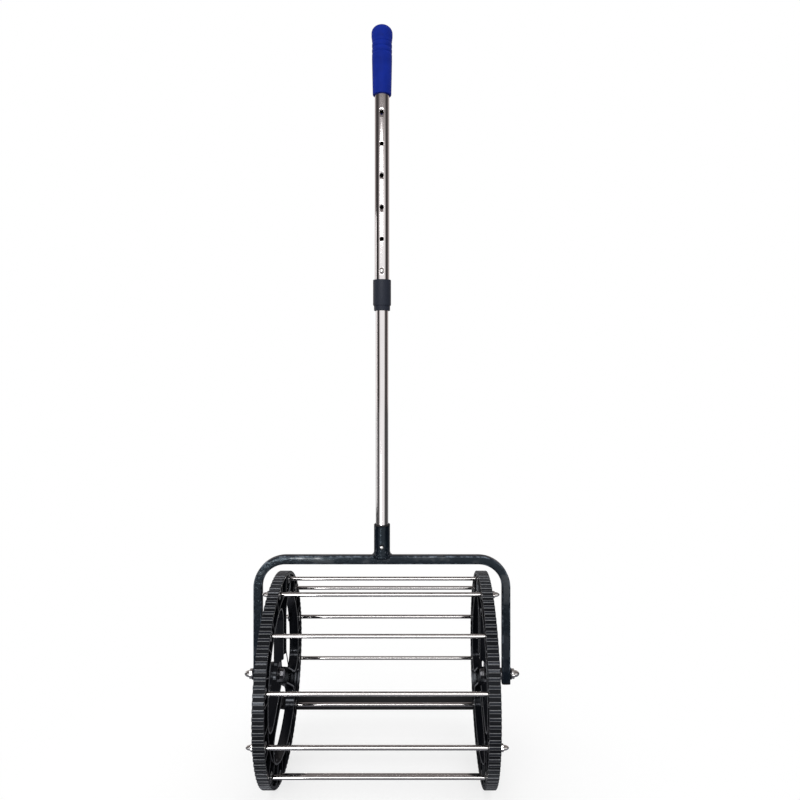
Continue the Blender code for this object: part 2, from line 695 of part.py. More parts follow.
def make_bail():
    """The square tube, swept along its path, with a wall and a bolt hole near each end."""
    section = bpy.data.curves.new("tube_section", "CURVE")
    section.dimensions = "2D"
    outline = rounded_square(BAIL_TUBE, BAIL_TUBE_CORNER)
    spline = section.splines.new("POLY")
    spline.points.add(len(outline) - 1)
    for point, (x, y) in zip(spline.points, outline):
        point.co = (x, y, 0.0, 1.0)
    spline.use_cyclic_u = True
    section_object = scratch("tube_section", section)

    path = bpy.data.curves.new("bail_path", "CURVE")
    path.dimensions = "3D"
    path.bevel_mode = "OBJECT"
    path.bevel_object = section_object
    path.use_fill_caps = False
    spline = path.splines.new("POLY")
    points = bail_path()
    spline.points.add(len(points) - 1)
    for point, (x, z) in zip(spline.points, points):
        point.co = (x, 0.0, z, 1.0)
    swept = scratch("bail_swept", path)
    mesh = evaluated_mesh(swept, "bail")
    edit = bmesh.new()
    edit.from_mesh(mesh)
    bmesh.ops.recalc_face_normals(edit, faces=edit.faces)
    face = max(edit.faces, key=lambda f: f.calc_center_median().z)
    if face.normal.z < 0.0:
        bmesh.ops.reverse_faces(edit, faces=edit.faces)
    edit.to_mesh(mesh)
    edit.free()
    bpy.data.objects.remove(swept, do_unlink=True)
    bpy.data.objects.remove(section_object, do_unlink=True)

    shell = scratch("bail_shell", mesh)
    wall = shell.modifiers.new("wall", "SOLIDIFY")
    wall.thickness = BAIL_TUBE_WALL
    wall.offset = -1.0
    wall.use_even_offset = True
    reach = 2 * BAIL_OUTER_FACE
    hole = prism("bolt_hole", RING_SIDES, BOLT_RADIUS + CLEARANCE, -reach, reach)
    place_object(hole, side_out_matrix(1, 0.0))
    finished("bail", combined("bail", shell, (), (hole,)), painted_steel())

    inner = BAIL_TUBE - 2 * (BAIL_TUBE_WALL + CLEARANCE)
    end = AXLE_HEIGHT - BAIL_END_DROP
    for side, word in ((-1, "left"), (1, "right")):
        flange_outline = rounded_square(BAIL_TUBE, BAIL_TUBE_CORNER)
        flange = flat_shape("flange", [flange_outline], -CLEARANCE - PLUG_FLANGE, -CLEARANCE)
        stem_outline = rounded_square(inner, BAIL_TUBE_CORNER - BAIL_TUBE_WALL)
        stem = flat_shape("stem", [stem_outline], -CLEARANCE - PLUG_FLANGE / 2, PLUG_STEM)
        plug = combined("end_plug", flange, (stem,))
        where = Matrix.Translation((side * BAIL_CENTRE, 0.0, end))
        finished(f"{word}_end_plug", plug, black_plastic(), where)


def make_brace():
    """A flat strip bent into a wide U behind the drum, its two eyes on the axle bolts."""
    middle = BRACE_INNER_FACE + BRACE_THICKNESS / 2
    half = BRACE_THICKNESS / 2
    bend = BRACE_BEND_RADIUS
    reach = BRACE_RADIUS

    def side_points(offset):
        """The strip's edge in the plane of the axle and the bar, offset from its middle."""
        radius = bend + offset
        centre = (middle - bend, reach - bend)
        corner = arc(centre, radius, 0.0, 90.0)
        return [(middle + offset, 0.0), *corner]

    outer = side_points(half)
    inner = side_points(-half)
    outline = outer + [(-x, r) for x, r in reversed(outer)]
    outline += [(-x, r) for x, r in inner] + [(x, r) for x, r in reversed(inner)]
    strip = flat_shape("strip", [outline], -BRACE_WIDTH / 2, BRACE_WIDTH / 2)
    eyes = []
    eye_cuts = []
    for side in (-1, 1):
        where = Matrix.Translation((side * middle, 0.0, 0.0)) @ Matrix.Rotation(math.pi / 2, 4, "Y")
        eye = prism("eye", TUBE_SIDES, BRACE_WIDTH / 2 + EMBED, -half, half)
        eyes.append(place_object(eye, where))
        hole = BOLT_RADIUS + CLEARANCE
        cut = prism("eye_hole", RING_SIDES, hole, -BRACE_THICKNESS, BRACE_THICKNESS)
        eye_cuts.append(place_object(cut, where))
    mesh = combined("rear_brace", strip, eyes, eye_cuts)
    y, z = polar(1.0, BRACE_ANGLE)
    outwards = Vector((0.0, -y, z))
    sideways = Vector((1.0, 0.0, 0.0))
    across = sideways.cross(outwards)
    turn = Matrix((sideways, outwards, across)).transposed().to_4x4()
    where = Matrix.Translation((0.0, 0.0, AXLE_HEIGHT)) @ turn
    finished("rear_brace", mesh, black_steel(), where)


def front_matrix(height):
    """Local Z points to the front, from the pole's axis at a height."""
    return Matrix.Translation((0.0, 0.0, height)) @ Matrix.Rotation(math.radians(90.0), 4, "X")


def button_hole(name, radius, height, near, far):
    """A cutter through the front wall of an upright tube, from radius near to far."""
    hole = prism(name, SMALL_SIDES, radius, near, far)
    return place_object(hole, front_matrix(height))


def tube_part(name, profile, finish, holes=()):
    """An upright turned part, with holes cut in its front wall."""
    thing = turned_object(name, profile, TUBE_SIDES, True, cutters)
    mesh = evaluated_mesh(thing, name)
    bpy.data.objects.remove(thing, do_unlink=True)
    base = scratch(name, mesh)
    return finished(name, combined(name, base, (), holes), finish)


def make_socket():
    bore = SOCKET_RADIUS - SOCKET_WALL
    top = BAR_TOP + SOCKET_LENGTH
    low = BAR_TOP - SOCKET_SADDLE
    bead = SOCKET_RADIUS + WELD_BEAD
    bead_top = BAR_TOP + WELD_HEIGHT - SOCKET_SADDLE
    profile = [
        (SOCKET_RADIUS, top), (SOCKET_RADIUS, bead_top), (bead, BAR_TOP),
        (bead, low), (bore, low), (bore, top),
    ]
    saddle_width = BAIL_TUBE + 2 * CLEARANCE
    reach = 4 * SOCKET_RADIUS
    saddle_item = (reach, saddle_width, low - OVERCUT, BAR_TOP + CLEARANCE, -reach / 2, 0.0)
    saddle = boxes("saddle", [saddle_item])
    hole_radius = BUTTON_RADIUS + CLEARANCE
    height = SOCKET_BUTTON_HEIGHT
    hole = button_hole("socket_hole", hole_radius, height, bore / 2, 2 * SOCKET_RADIUS)
    tube_part("pole_socket", profile, painted_steel(), (saddle, hole))

    bush_outer = bore - CLEARANCE
    bush_inner = LOWER_TUBE_RADIUS + CLEARANCE
    lip_low = top + CLEARANCE
    lip_top = lip_low + BUSH_LIP
    bush_low = BAR_TOP + 2 * CLEARANCE
    profile = [
        (SOCKET_RADIUS, lip_top), (SOCKET_RADIUS, lip_low), (bush_outer, lip_low),
        (bush_outer, bush_low), (bush_inner, bush_low), (bush_inner, lip_top),
    ]
    bush_hole = button_hole("bush_hole", hole_radius, height, bore / 2, 2 * SOCKET_RADIUS)
    tube_part("socket_bush", profile, black_plastic(), (bush_hole,))


def button_flange_face():
    """How far from the tube's axis a button's flange seats against the round bore."""
    bore = LOWER_TUBE_RADIUS - TUBE_WALL
    return math.sqrt(bore ** 2 - BUTTON_FLANGE_RADIUS ** 2) - CLEARANCE


def make_button(name, height, outer_radius):
    """A spring button: a pin with a rounded nose, and a flange behind the tube's wall."""
    flange_face = button_flange_face()
    nose = outer_radius + BUTTON_REACH
    shoulder = nose - BUTTON_RADIUS / 2
    back = flange_face - BUTTON_FLANGE
    profile = [
        (0.0, nose), (BUTTON_CROWN_RADIUS, nose - BUTTON_CROWN_DROP), (BUTTON_RADIUS, shoulder),
        (BUTTON_RADIUS, flange_face), (BUTTON_FLANGE_RADIUS, flange_face),
        (BUTTON_FLANGE_RADIUS, back), (0.0, back),
    ]
    button = turned_object(name, profile, SMALL_SIDES, False, parts, chrome())
    return place_object(button, front_matrix(height))


def make_leaf_spring(name, height, away):
    """A folded leaf inside the tube: one leg behind the button, one on the far wall."""
    front = -(button_flange_face() - BUTTON_FLANGE - CLEARANCE)
    bore = LOWER_TUBE_RADIUS - TUBE_WALL
    back = math.sqrt(bore ** 2 - (SPRING_WIDTH / 2) ** 2) - CLEARANCE
    thick = SPRING_THICKNESS
    fold = height + away * SPRING_LENGTH
    tail = height - away * SPRING_TAIL
    middle = (front + back) / 2
    bend = thick * 2
    inside = bend - thick
    outer = [
        (front, tail), (middle - bend, fold), (middle, fold + away * bend),
        (middle + bend, fold), (back, tail),
    ]
    inner = [
        (back - thick, tail), (middle + inside, fold), (middle, fold + away * inside),
        (middle - inside, fold), (front + thick, tail),
    ]
    leaf = flat_shape(name, [outer + inner], -SPRING_WIDTH / 2, SPRING_WIDTH / 2)
    mesh = evaluated_mesh(leaf, name)
    bpy.data.objects.remove(leaf, do_unlink=True)
    turn = Matrix(((0.0, 0.0, 1.0), (1.0, 0.0, 0.0), (0.0, 1.0, 0.0)))
    return finished(name, mesh, spring_steel(), turn.to_4x4())


def make_pole():
    lower_top = LOWER_TUBE_BOTTOM + LOWER_TUBE_LENGTH
    hole_radius = BUTTON_RADIUS + CLEARANCE
    wall_inside = LOWER_TUBE_RADIUS - TUBE_WALL
    near = wall_inside / 2
    far = 2 * LOWER_TUBE_RADIUS
    lower_holes = [
        button_hole("lower_hole", hole_radius, height, near, far)
        for height in (SOCKET_BUTTON_HEIGHT, BUTTON_HEIGHT)
    ]
    profile = ring_profile(wall_inside, LOWER_TUBE_RADIUS, LOWER_TUBE_BOTTOM, lower_top)
    tube_part("lower_tube", profile, chrome(), lower_holes)

    upper_inside = UPPER_TUBE_RADIUS - TUBE_WALL
    upper_holes = [
        button_hole("upper_hole", hole_radius, BUTTON_HEIGHT + HOLE_PITCH * i, near, far)
        for i in range(HOLE_COUNT)
    ]
    profile = ring_profile(upper_inside, UPPER_TUBE_RADIUS, UPPER_TUBE_BOTTOM, UPPER_TUBE_TOP)
    tube_part("upper_tube", profile, chrome(), upper_holes)

    low = AXLE_HEIGHT + COLLAR_BOTTOM
    high = low + COLLAR_LENGTH
    step = low + COLLAR_LIP_LENGTH
    floor = low + COLLAR_FLOOR
    profile = [
        (COLLAR_RADIUS - EMBED, high), (COLLAR_RADIUS, high - EMBED), (COLLAR_RADIUS, step),
        (COLLAR_LIP_RADIUS, step), (COLLAR_LIP_RADIUS, low + EMBED),
        (COLLAR_LIP_RADIUS - EMBED, low),
        (LOWER_TUBE_RADIUS + CLEARANCE, low), (LOWER_TUBE_RADIUS + CLEARANCE, floor),
        (UPPER_TUBE_RADIUS + CLEARANCE, floor), (UPPER_TUBE_RADIUS + CLEARANCE, high),
    ]
    turned_object("collar", profile, TUBE_SIDES, True, parts, collar_plastic())

    make_button("telescope_button", BUTTON_HEIGHT, UPPER_TUBE_RADIUS)
    make_button("socket_button", SOCKET_BUTTON_HEIGHT, SOCKET_RADIUS)
    make_leaf_spring("telescope_spring", BUTTON_HEIGHT, -1.0)
    make_leaf_spring("socket_spring", SOCKET_BUTTON_HEIGHT, 1.0)


def grip_radius(below_top):
    """The radius under the grip's head: even down to the middle, narrowing from there."""
    narrowed = max(0.0, 2 * below_top / GRIP_LENGTH - 1)
    return GRIP_BODY_RADIUS + (GRIP_END_RADIUS - GRIP_BODY_RADIUS) * narrowed


def make_grip():
    """A moulded sleeve: a domed head, a body with ring grooves and a round lip at its end."""
    top = UPPER_TUBE_TOP + CLEARANCE + GRIP_ROOF
    bottom = top - GRIP_LENGTH
    profile = [(0.0, top)]
    for i in range(1, GRIP_STEPS + 1):
        angle = math.radians(90.0 * i / GRIP_STEPS)
        drop = GRIP_DOME * (1.0 - math.cos(angle))
        profile.append((GRIP_HEAD_RADIUS * math.sin(angle), top - drop))
    profile.append((GRIP_HEAD_RADIUS, top - GRIP_HEAD_LENGTH))
    for i in range(GRIP_GROOVE_COUNT):
        below = GRIP_GROOVE_BELOW_TOP + GRIP_GROOVE_PITCH * i
        half = GRIP_GROOVE_PITCH / 4
        profile.append((grip_radius(below - half), top - below + half))
        profile.append((grip_radius(below) - GRIP_GROOVE_DEPTH, top - below))
        profile.append((grip_radius(below + half), top - below - half))
    profile.append((GRIP_BODY_RADIUS, top - GRIP_LENGTH / 2))
    profile.append((grip_radius(GRIP_LENGTH - GRIP_LIP), bottom + GRIP_LIP))
    profile.append((GRIP_END_RADIUS - GRIP_LIP / 2, bottom))
    bore = UPPER_TUBE_RADIUS + CLEARANCE
    roof = UPPER_TUBE_TOP + CLEARANCE
    profile += [(bore, bottom), (bore, roof), (0.0, roof)]
    turned_object("grip", profile, TUBE_SIDES, False, parts, grip_rubber())


def hang_on_empties():
    """Parent each piece to the empty it moves with, which stands on that motion's axis."""
    drum_words = ("wheel", "rod", "tie_nut")
    handle_words = ("upper_tube", "collar", "grip")
    pole_words = ("lower_tube", "spring", "button")
    spots = {
        "drum": (AXLE_HEIGHT, drum_words),
        "handle": (UPPER_TUBE_BOTTOM, handle_words),
        "pole": (LOWER_TUBE_BOTTOM, pole_words),
        "frame": (0.0, ("",)),
    }
    pieces = [thing for thing in parts.objects if thing.type == "MESH"]
    for name, (height, words) in spots.items():
        empty = bpy.data.objects.new(name, None)
        parts.objects.link(empty)
        empty.location = (0.0, 0.0, height)
        held = [p for p in pieces if not p.parent and any(word in p.name for word in words)]
        for piece in held:
            piece.parent = empty
            piece.matrix_parent_inverse = Matrix.Translation((0.0, 0.0, -height))


def main():
    start_scene()
    make_drum()
    make_axle_set(-1)
    make_axle_set(1)
    make_bail()
    make_brace()
    make_socket()
    make_pole()
    make_grip()
    hang_on_empties()


main()
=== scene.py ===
"""The looks of a ball roller collector: a rolling cage of steel rods on a long telescopic handle.

Every shape is a numpy surface in metres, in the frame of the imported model: X along the drum,
-Y to the front, +Z up. An angle on the drum is counted in degrees from the front upwards.
"""

import math

import bpy
import numpy as np
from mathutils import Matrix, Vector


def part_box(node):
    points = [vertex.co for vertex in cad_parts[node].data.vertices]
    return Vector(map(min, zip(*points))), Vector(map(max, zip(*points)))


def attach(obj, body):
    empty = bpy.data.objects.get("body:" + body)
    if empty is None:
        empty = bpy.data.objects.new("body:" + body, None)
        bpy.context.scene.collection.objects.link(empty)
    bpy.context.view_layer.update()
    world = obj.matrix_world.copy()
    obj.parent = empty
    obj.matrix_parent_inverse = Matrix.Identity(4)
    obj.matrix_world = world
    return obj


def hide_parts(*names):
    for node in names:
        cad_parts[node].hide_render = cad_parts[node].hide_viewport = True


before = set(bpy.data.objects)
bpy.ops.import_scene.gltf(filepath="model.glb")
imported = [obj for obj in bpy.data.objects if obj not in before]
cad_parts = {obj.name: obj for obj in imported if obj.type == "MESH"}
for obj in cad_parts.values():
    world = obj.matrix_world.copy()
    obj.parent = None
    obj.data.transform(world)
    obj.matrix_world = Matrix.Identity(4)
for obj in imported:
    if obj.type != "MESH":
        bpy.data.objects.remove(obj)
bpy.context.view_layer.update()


# ----------------------------------------
# Wheels. Each is one black gloss moulding with a toothed rim and a thin web near its outer face.
# The web has three windows with a wall round each, and ribs, rod seats and a hub stand inside.
# A bolt in the hub carries it, and the twelve rods hold the two wheels apart.

MM = 0.001
along_axle = (1, 0, 0)
upright = (0, 0, 1)
sides = ((-1, "left"), (1, "right"))


def mm(*lengths):
    """Lengths in millimetres as an array in metres."""
    return np.array(lengths) * MM


def joined(*runs):
    """Numbers and rows of numbers joined to one row."""
    return np.concatenate([np.atleast_1d(run) for run in runs])


def corners(node):
    """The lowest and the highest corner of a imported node."""
    return (np.array(corner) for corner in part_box(node))


left_low, left_high = corners("left_wheel")
wheel_face = -left_high[0]
axle_height = (left_low[2] + left_high[2]) / 2
wheel_radius = axle_height - left_low[2]
wheel_width = 16 * MM
tooth_count = 96
tooth_height = 2 * MM
pocket_radius = wheel_radius - tooth_height - 3 * MM
window_radius = wheel_radius - 33 * MM
window_corner = 25 * MM
spoke_half_width = 12 * MM
hub_radius = 17 * MM
hub_bore = 4.3 * MM
hub_step_radius = 22 * MM
hub_step_corner = 6 * MM
hub_foot = 9.5 * MM
hub_foot_reach = 26 * MM
wall_thickness = 2.5 * MM
wall_foot = 0.5 * MM
web_top = 15.5 * MM
web_bottom = 13 * MM
web_rim = pocket_radius + 0.3 * MM
web_hub = hub_radius - MM
rod_circle = wheel_radius - 12 * MM
chord_circle = 69.25 * MM
chord_half = 105 * MM
chord_depth = 14.15 * MM
stub_circle = 57 * MM
stub_radius = 4 * MM
stub_slot = 1.8 * MM
lug_circle = 114.25 * MM
lug_hole_circle = 112.6 * MM
lug_lean = 7
seat_rib_lean = 7.5
rib_depth = 7.75 * MM
spokes = (90, -30, -150)
windows = tuple(angle + 60 for angle in spokes)
rod_turns = 105 - 30 * np.arange(12)


def on_drum(side, radius, turn, depth):
    """Drum places as points: radius and turn about the axle, depth out from the inner face."""
    turn = np.radians(turn)
    return np.stack(np.broadcast_arrays(
        side * (wheel_face + depth), -radius * np.cos(turn),
        axle_height + radius * np.sin(turn)), axis=-1)


def outward(side, turn):
    """The direction away from the axle at a turn."""
    return on_drum(side, 1, turn, 0) - on_drum(side, 0, turn, 0)


def circle(angle):
    """Points on a circle of radius 1, at angles in radians."""
    return np.stack([np.cos(angle), np.sin(angle)], axis=-1)


def quarter(count):
    """Angles in radians from nothing to a quarter turn."""
    return np.radians(np.linspace(0, 90, count))


def full_turn(count):
    """Angles in radians all round, without the last, which is the first again."""
    return np.linspace(0, 2 * np.pi, count, endpoint=False)


def eased(rise, span):
    """0 below 0, 1 above span, and between them 3 t squared less 2 t cubed."""
    t = np.clip(rise / span, 0, 1)
    return t ** 2 * (3 - 2 * t)


def grid_shell(points, wrap_rows=False, wrap_columns=False):
    """A grid of points and the faces between its rows and columns. A wrapped direction is
    joined from its last line back to its first."""
    index = np.arange(points.shape[0] * points.shape[1]).reshape(points.shape[:2])
    if wrap_rows:
        index = np.concatenate([index, index[:1]], axis=0)
    if wrap_columns:
        index = np.concatenate([index, index[:, :1]], axis=1)
    faces = np.stack([index[:-1, :-1], index[1:, :-1], index[1:, 1:], index[:-1, 1:]], axis=-1)
    return points.reshape(-1, 3), faces.reshape(-1, 4)


def placed(name, data):
    """A new object in the scene."""
    made = bpy.data.objects.new(name, data)
    bpy.context.scene.collection.objects.link(made)
    return made


def shell_piece(name, shells, body, finish=None, crease=32):
    """One object from closed shells. In each shell the corners that meet are welded, a face
    that shrinks to a line is dropped, and the faces turn outwards where the volume is negative."""
    points_of_all, squares, triangles, start = [], [], [], 0
    for points, faces in shells:
        keys = np.round(points / 1e-6 + 0.1234).astype(np.int64)
        _, first, place = np.unique(keys, axis=0, return_index=True, return_inverse=True)
        points, faces = points[first], place.reshape(-1)[faces]
        a, b, c, d = (points[faces[:, k]] - points.mean(axis=0) for k in range(4))
        if np.sum(a * (np.cross(b, c) + np.cross(c, d))) < 0:
            faces = faces[:, ::-1]
        keep = faces != np.roll(faces, -1, axis=1)
        count = keep.sum(axis=1)
        squares.append(faces[count == 4] + start)
        triangles.append(faces[count == 3][keep[count == 3]].reshape(-1, 3) + start)
        points_of_all.append(points)
        start += len(points)
    mesh = bpy.data.meshes.new(name)
    all_faces = np.concatenate(squares).tolist() + np.concatenate(triangles).tolist()
    mesh.from_pydata(np.concatenate(points_of_all).tolist(), [], all_faces)
    mesh.shade_smooth()
    mesh.set_sharp_from_angle(angle=math.radians(crease))
    if finish:
        mesh.materials.append(finish)
    piece = placed(name, mesh)
    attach(piece, body)
    return piece


def round_box(width, height, radius, steps=4):
    """A rectangle with round corners, and its outward directions. Each corner is a quarter
    circle of equal steps, so its points are the corner's centre plus radius times direction."""
    out = circle(np.radians(np.arange(4) * 90)[:, None] + quarter(steps))
    signs = np.array([(1, 1), (-1, 1), (-1, -1), (1, -1)])[:, None, :]
    centre = signs * np.array([width / 2 - radius, height / 2 - radius])
    return (centre + radius * out).reshape(-1, 2), out.reshape(-1, 2)


def carried(section, path, right, up, round_end=0):
    """A section carried along a path. A point is path + across * right + height * up. Both ends
    are drawn in by a quarter circle of radius round_end and close on the path's end points."""
    outline, out = section
    path, right, up = (np.broadcast_to(np.asarray(line, float), np.shape(path))
                       for line in (path, right, up))
    inset = np.zeros(len(path))
    if round_end:
        bow = quarter(4)
        drawn_in = round_end * (1 - np.sin(bow))
        back = round_end * (1 - np.cos(bow))[:, None]
        start = (path[1] - path[0]) / np.linalg.norm(path[1] - path[0])
        end = (path[-2] - path[-1]) / np.linalg.norm(path[-2] - path[-1])
        path = np.vstack([path[0] + back * start, path[1:-1], path[-1] + back[::-1] * end])
        right, up = (np.vstack([np.repeat(line[:1], 4, 0), line[1:-1], np.repeat(line[-1:], 4, 0)])
                     for line in (right, up))
        inset = joined(drawn_in, np.zeros(len(path) - 8), drawn_in[::-1])
    flat = outline[None] - inset[:, None, None] * out[None]
    points = path[:, None] + flat[..., :1] * right[:, None] + flat[..., 1:] * up[:, None]
    ends = [np.broadcast_to(points[k].mean(axis=0), points[:1].shape) for k in (0, -1)]
    return grid_shell(np.concatenate([ends[0], points, ends[1]]), wrap_columns=True)


def turned(profile, base, axis, across, count, ring=False):
    """A profile of radius and height turned about an axis through base. The radius may also
    differ round the turn. A ring profile is closed on itself, any other ends on the axis."""
    radius, height = profile
    base, axis, across = (np.asarray(line, float) for line in (base, axis, across))
    angle = full_turn(count)
    radius = np.broadcast_to(np.reshape(radius, (len(height), -1)), (len(height), count))
    spoke = np.cos(angle)[:, None] * across + np.sin(angle)[:, None] * np.cross(axis, across)
    points = base + np.asarray(height)[:, None, None] * axis + radius[..., None] * spoke[None]
    return grid_shell(points, wrap_rows=ring, wrap_columns=True)


def pin(radius, near, far, base, axis, across, count):
    """A plain round pin, closed at both ends, from near to far along an axis through base."""
    return turned(((0, radius, radius, 0), (near, near, far, far)), base, axis, across, count)


def rim_ring(side):
    """The toothed rim. Round the wheel its outer radius is the root circle plus one tooth's
    rise, repeated; across it a closed section runs over both rounded edges and the pocket."""
    turn = np.array([1.875, 1.36, 1.22, 1.16, 1.03, 0.93, 0.885, 0.83, 0.74, 0])
    rise = mm(0, 0, 0.06, 0.24, 1, 1.6, 1.84, 1.96, 2, 2)
    turn, rise = joined(-turn, turn[-2:0:-1]), joined(rise, rise[-2:0:-1])
    root = wheel_radius - tooth_height
    outer = (root + rise) / np.cos(np.radians(np.clip(turn, -0.86, 0.86)))
    outer = np.minimum(outer, wheel_radius / np.cos(np.radians(turn)))
    outer = np.tile(outer, tooth_count)[:, None]
    angle = (np.arange(tooth_count)[:, None] * 360 / tooth_count + turn).reshape(-1)
    soft, shoulder = mm(0.55, 0.16, 0), 1.3 * MM
    depth = joined(soft[::-1], shoulder, wheel_width - shoulder, wheel_width - soft,
                   wheel_width - soft[::-1], soft)
    outer_line = outer - joined(soft, 0, 0, soft[::-1])
    inner_line = np.broadcast_to(pocket_radius + joined(soft, soft[::-1]), (len(angle), 6))
    radius = np.concatenate([outer_line, inner_line], axis=1)
    return grid_shell(on_drum(side, radius, angle[:, None], depth[None]), True, True)


def window_edge():
    """Half a window's edge, from its middle at the rim to its middle at the hub, with the
    direction into the plastic. A spoke lies at angle 0. Round parts are a centre plus radius
    times direction; each corner also has the point that looks at the spoke's own end."""
    rim_reach, hub_reach = window_radius - window_corner, hub_step_radius + hub_step_corner
    rim_turn = math.asin((spoke_half_width + window_corner) / rim_reach)
    hub_turn = math.asin((spoke_half_width + hub_step_corner) / hub_reach)
    rim_centre = rim_reach * circle(rim_turn)
    hub_centre = hub_reach * circle(hub_turn)
    to_rim = np.array([web_rim, 0]) - rim_centre
    to_hub = np.array([web_hub, 0]) - hub_centre
    rim_corner = joined(np.linspace(rim_turn, -np.pi / 2, 22), math.atan2(to_rim[1], to_rim[0]))
    hub_corner = joined(np.linspace(-np.pi / 2, hub_turn - np.pi, 12),
                        math.atan2(to_hub[1], to_hub[0]))
    parts = []
    for centre, radius, angle in (
        ((0, 0), window_radius, np.linspace(np.pi / 3, rim_turn, 18)[:-1]),
        (rim_centre, window_corner, np.sort(rim_corner)[::-1]),
        (hub_centre, hub_step_corner, np.sort(hub_corner)[::-1]),
        ((0, 0), -hub_step_radius, np.linspace(hub_turn, np.pi / 3, 8)[1:] + np.pi),
    ):
        out = circle(angle)
        parts.append((np.asarray(centre) + abs(radius) * out * np.sign(radius), out))
    side_x = np.linspace(rim_centre[0], hub_centre[0], 12)[1:-1]
    side = np.stack([side_x, np.full(10, spoke_half_width)], axis=-1)
    parts.insert(2, (side, np.broadcast_to((0, -1), side.shape)))
    return (np.concatenate([part[k] for part in parts]) for k in (0, 1))


def to_boundary(place, out):
    """How far each edge point is from the end of its sector along its direction: the nearest
    of the spoke's centre line, the rim's pocket and the hub. Also whether that end is round."""
    along = np.sum(place * out, axis=1)
    square = np.sum(place * place, axis=1)
    rim = -along + np.sqrt(along ** 2 - square + web_rim ** 2)
    inside = along ** 2 - square + web_hub ** 2
    hub_end = -along - np.sqrt(np.maximum(inside, 0))
    hub_end = np.where((inside > 0) & (along < 0), hub_end, np.inf)
    spoke = np.where(out[:, 1] < -1e-6, place[:, 1] / np.maximum(-out[:, 1], 1e-9), np.inf)
    reach = np.minimum(np.minimum(rim, hub_end), spoke)
    return reach, reach < spoke - 1e-9


def window_plate(side):
    """The web with its three windows and their walls. Across a window's edge a section runs
    over the web's face, down the wall, round its foot and back to the web's inner face."""
    place, out = window_edge()
    reach, round_end = to_boundary(place, out)
    mirror = np.array([circle(2 * np.pi / 3), circle(2 * np.pi / 3)[::-1] * (1, -1)])
    place = np.concatenate([place, (place @ mirror)[-2:0:-1]])
    out = np.concatenate([out, (out @ mirror)[-2:0:-1]])
    reach, round_end = joined(reach, reach[-2:0:-1]), joined(round_end, round_end[-2:0:-1])
    distance = np.linalg.norm(place + wall_thickness / 2 * out, axis=1)
    foot = wall_foot + (hub_foot - wall_foot) * eased(hub_foot_reach - distance, 2 * MM)
    rows = len(place)
    across = np.tile(joined(mm(0, 1.5, 0.6, 0.18, 0, 0, 0, 0, 0.15, 0.5),
                            wall_thickness - mm(0.5, 0.15, 0, 0),
                            wall_thickness + mm(0, 0.12, 0.8, 1.7, 0)), (rows, 1))
    depth = np.tile(joined(web_top - mm(0, 0, 0, 0.18, 0.6, 1.5),
                           mm(1.3, 0.5, 0.15, 0, 0, 0.15, 0.5, 1.3),
                           web_bottom - mm(0.8, 0.3, 0, 0, 0)), (rows, 1))
    across[:, [0, -1]] = reach[:, None]
    depth[:, 6:14] += foot[:, None]
    flat = place[:, None] + across[..., None] * out[:, None]
    radius = np.linalg.norm(flat, axis=-1)
    angle = np.degrees(np.arctan2(flat[..., 1], flat[..., 0]))
    row, column = np.divmod(np.arange(depth.size), depth.shape[1])
    kept = (column < depth.shape[1] - 1) | round_end[row] | round_end[(row + 1) % rows]
    points, faces = zip(*(grid_shell(on_drum(side, radius, angle + spoke, depth), True, True)
                          for spoke in spokes))
    faces = [sector[kept] + k * depth.size for k, sector in enumerate(faces)]
    return np.concatenate(points), np.concatenate(faces)


def wheel_rib(side, turn):
    """A rib beside a rod's seat: a rounded section carried from the windows' wall to the rim."""
    reach = np.linspace(window_radius + 1.9 * MM, pocket_radius + 0.5 * MM, 6)
    return carried(round_box(1.6 * MM, 13.5 * MM, 0.42 * MM), on_drum(side, reach, turn, rib_depth),
                   outward(side, turn + 90), along_axle)


def curved_tie(side, spoke):
    """The stretch of wall that crosses a spoke: a section carried round an arc."""
    turn = spoke + np.linspace(-18, 18, 25)
    path = on_drum(side, window_radius + 0.8 * MM, turn, rib_depth)
    return carried(round_box(2.4 * MM, 12.5 * MM, 0.5 * MM), path, outward(side, turn), along_axle)


def chord_rib(side, window):
    """The slim bar straight across a window, between its two spokes."""
    centre = on_drum(side, chord_circle, window, chord_depth)
    along = np.linspace(-chord_half, chord_half, 12)[:, None] * outward(side, window + 90)
    return carried(round_box(2.5 * MM, 1.1 * MM, 0.35 * MM), centre + along,
                   outward(side, window), along_axle)


def axle_frame(side, radius, turn, depth=0):
    """Base point, outward axis and cross direction of something turned parallel to the axle."""
    return on_drum(side, radius, turn, depth), (side, 0, 0), upright


def rod_seat(side, turn):
    """A round boss with a countersunk bore that a rod's end stands in."""
    radius = mm(3.5, 3.2, 3.2, 7.5, 7.5, 7.5, 7.35, 7, 4.1)
    height = mm(1.2, 1.7, 14.4, 14.4, 12, 1.5, 1, 0.75, 0.75)
    return turned((radius, height), *axle_frame(side, rod_circle, turn), 48, ring=True)


def stub(side, spoke):
    """A short round stub on a spoke, split by a slot: a base and two D-shaped prongs."""
    shells = [pin(stub_radius, 13.6 * MM, 16.6 * MM, *axle_frame(side, stub_circle, spoke), 48)]
    lean = math.asin(stub_slot / 2 / stub_radius)
    arc = circle(np.linspace(lean, np.pi - lean, 24))
    flat = np.stack([np.linspace(-0.8, 0.8, 8) * stub_radius, np.full(8, stub_slot / 2)], axis=-1)
    section = (np.concatenate([stub_radius * arc, flat]),
               np.concatenate([arc, np.broadcast_to((0, -1), (8, 2))]))
    path = on_drum(side, stub_circle, spoke, np.linspace(16.4, 21, 4) * MM)
    for way in (1, -1):
        shells.append(carried(section, path, outward(side, spoke),
                              way * outward(side, spoke + 90), round_end=0.5 * MM))
    return shells


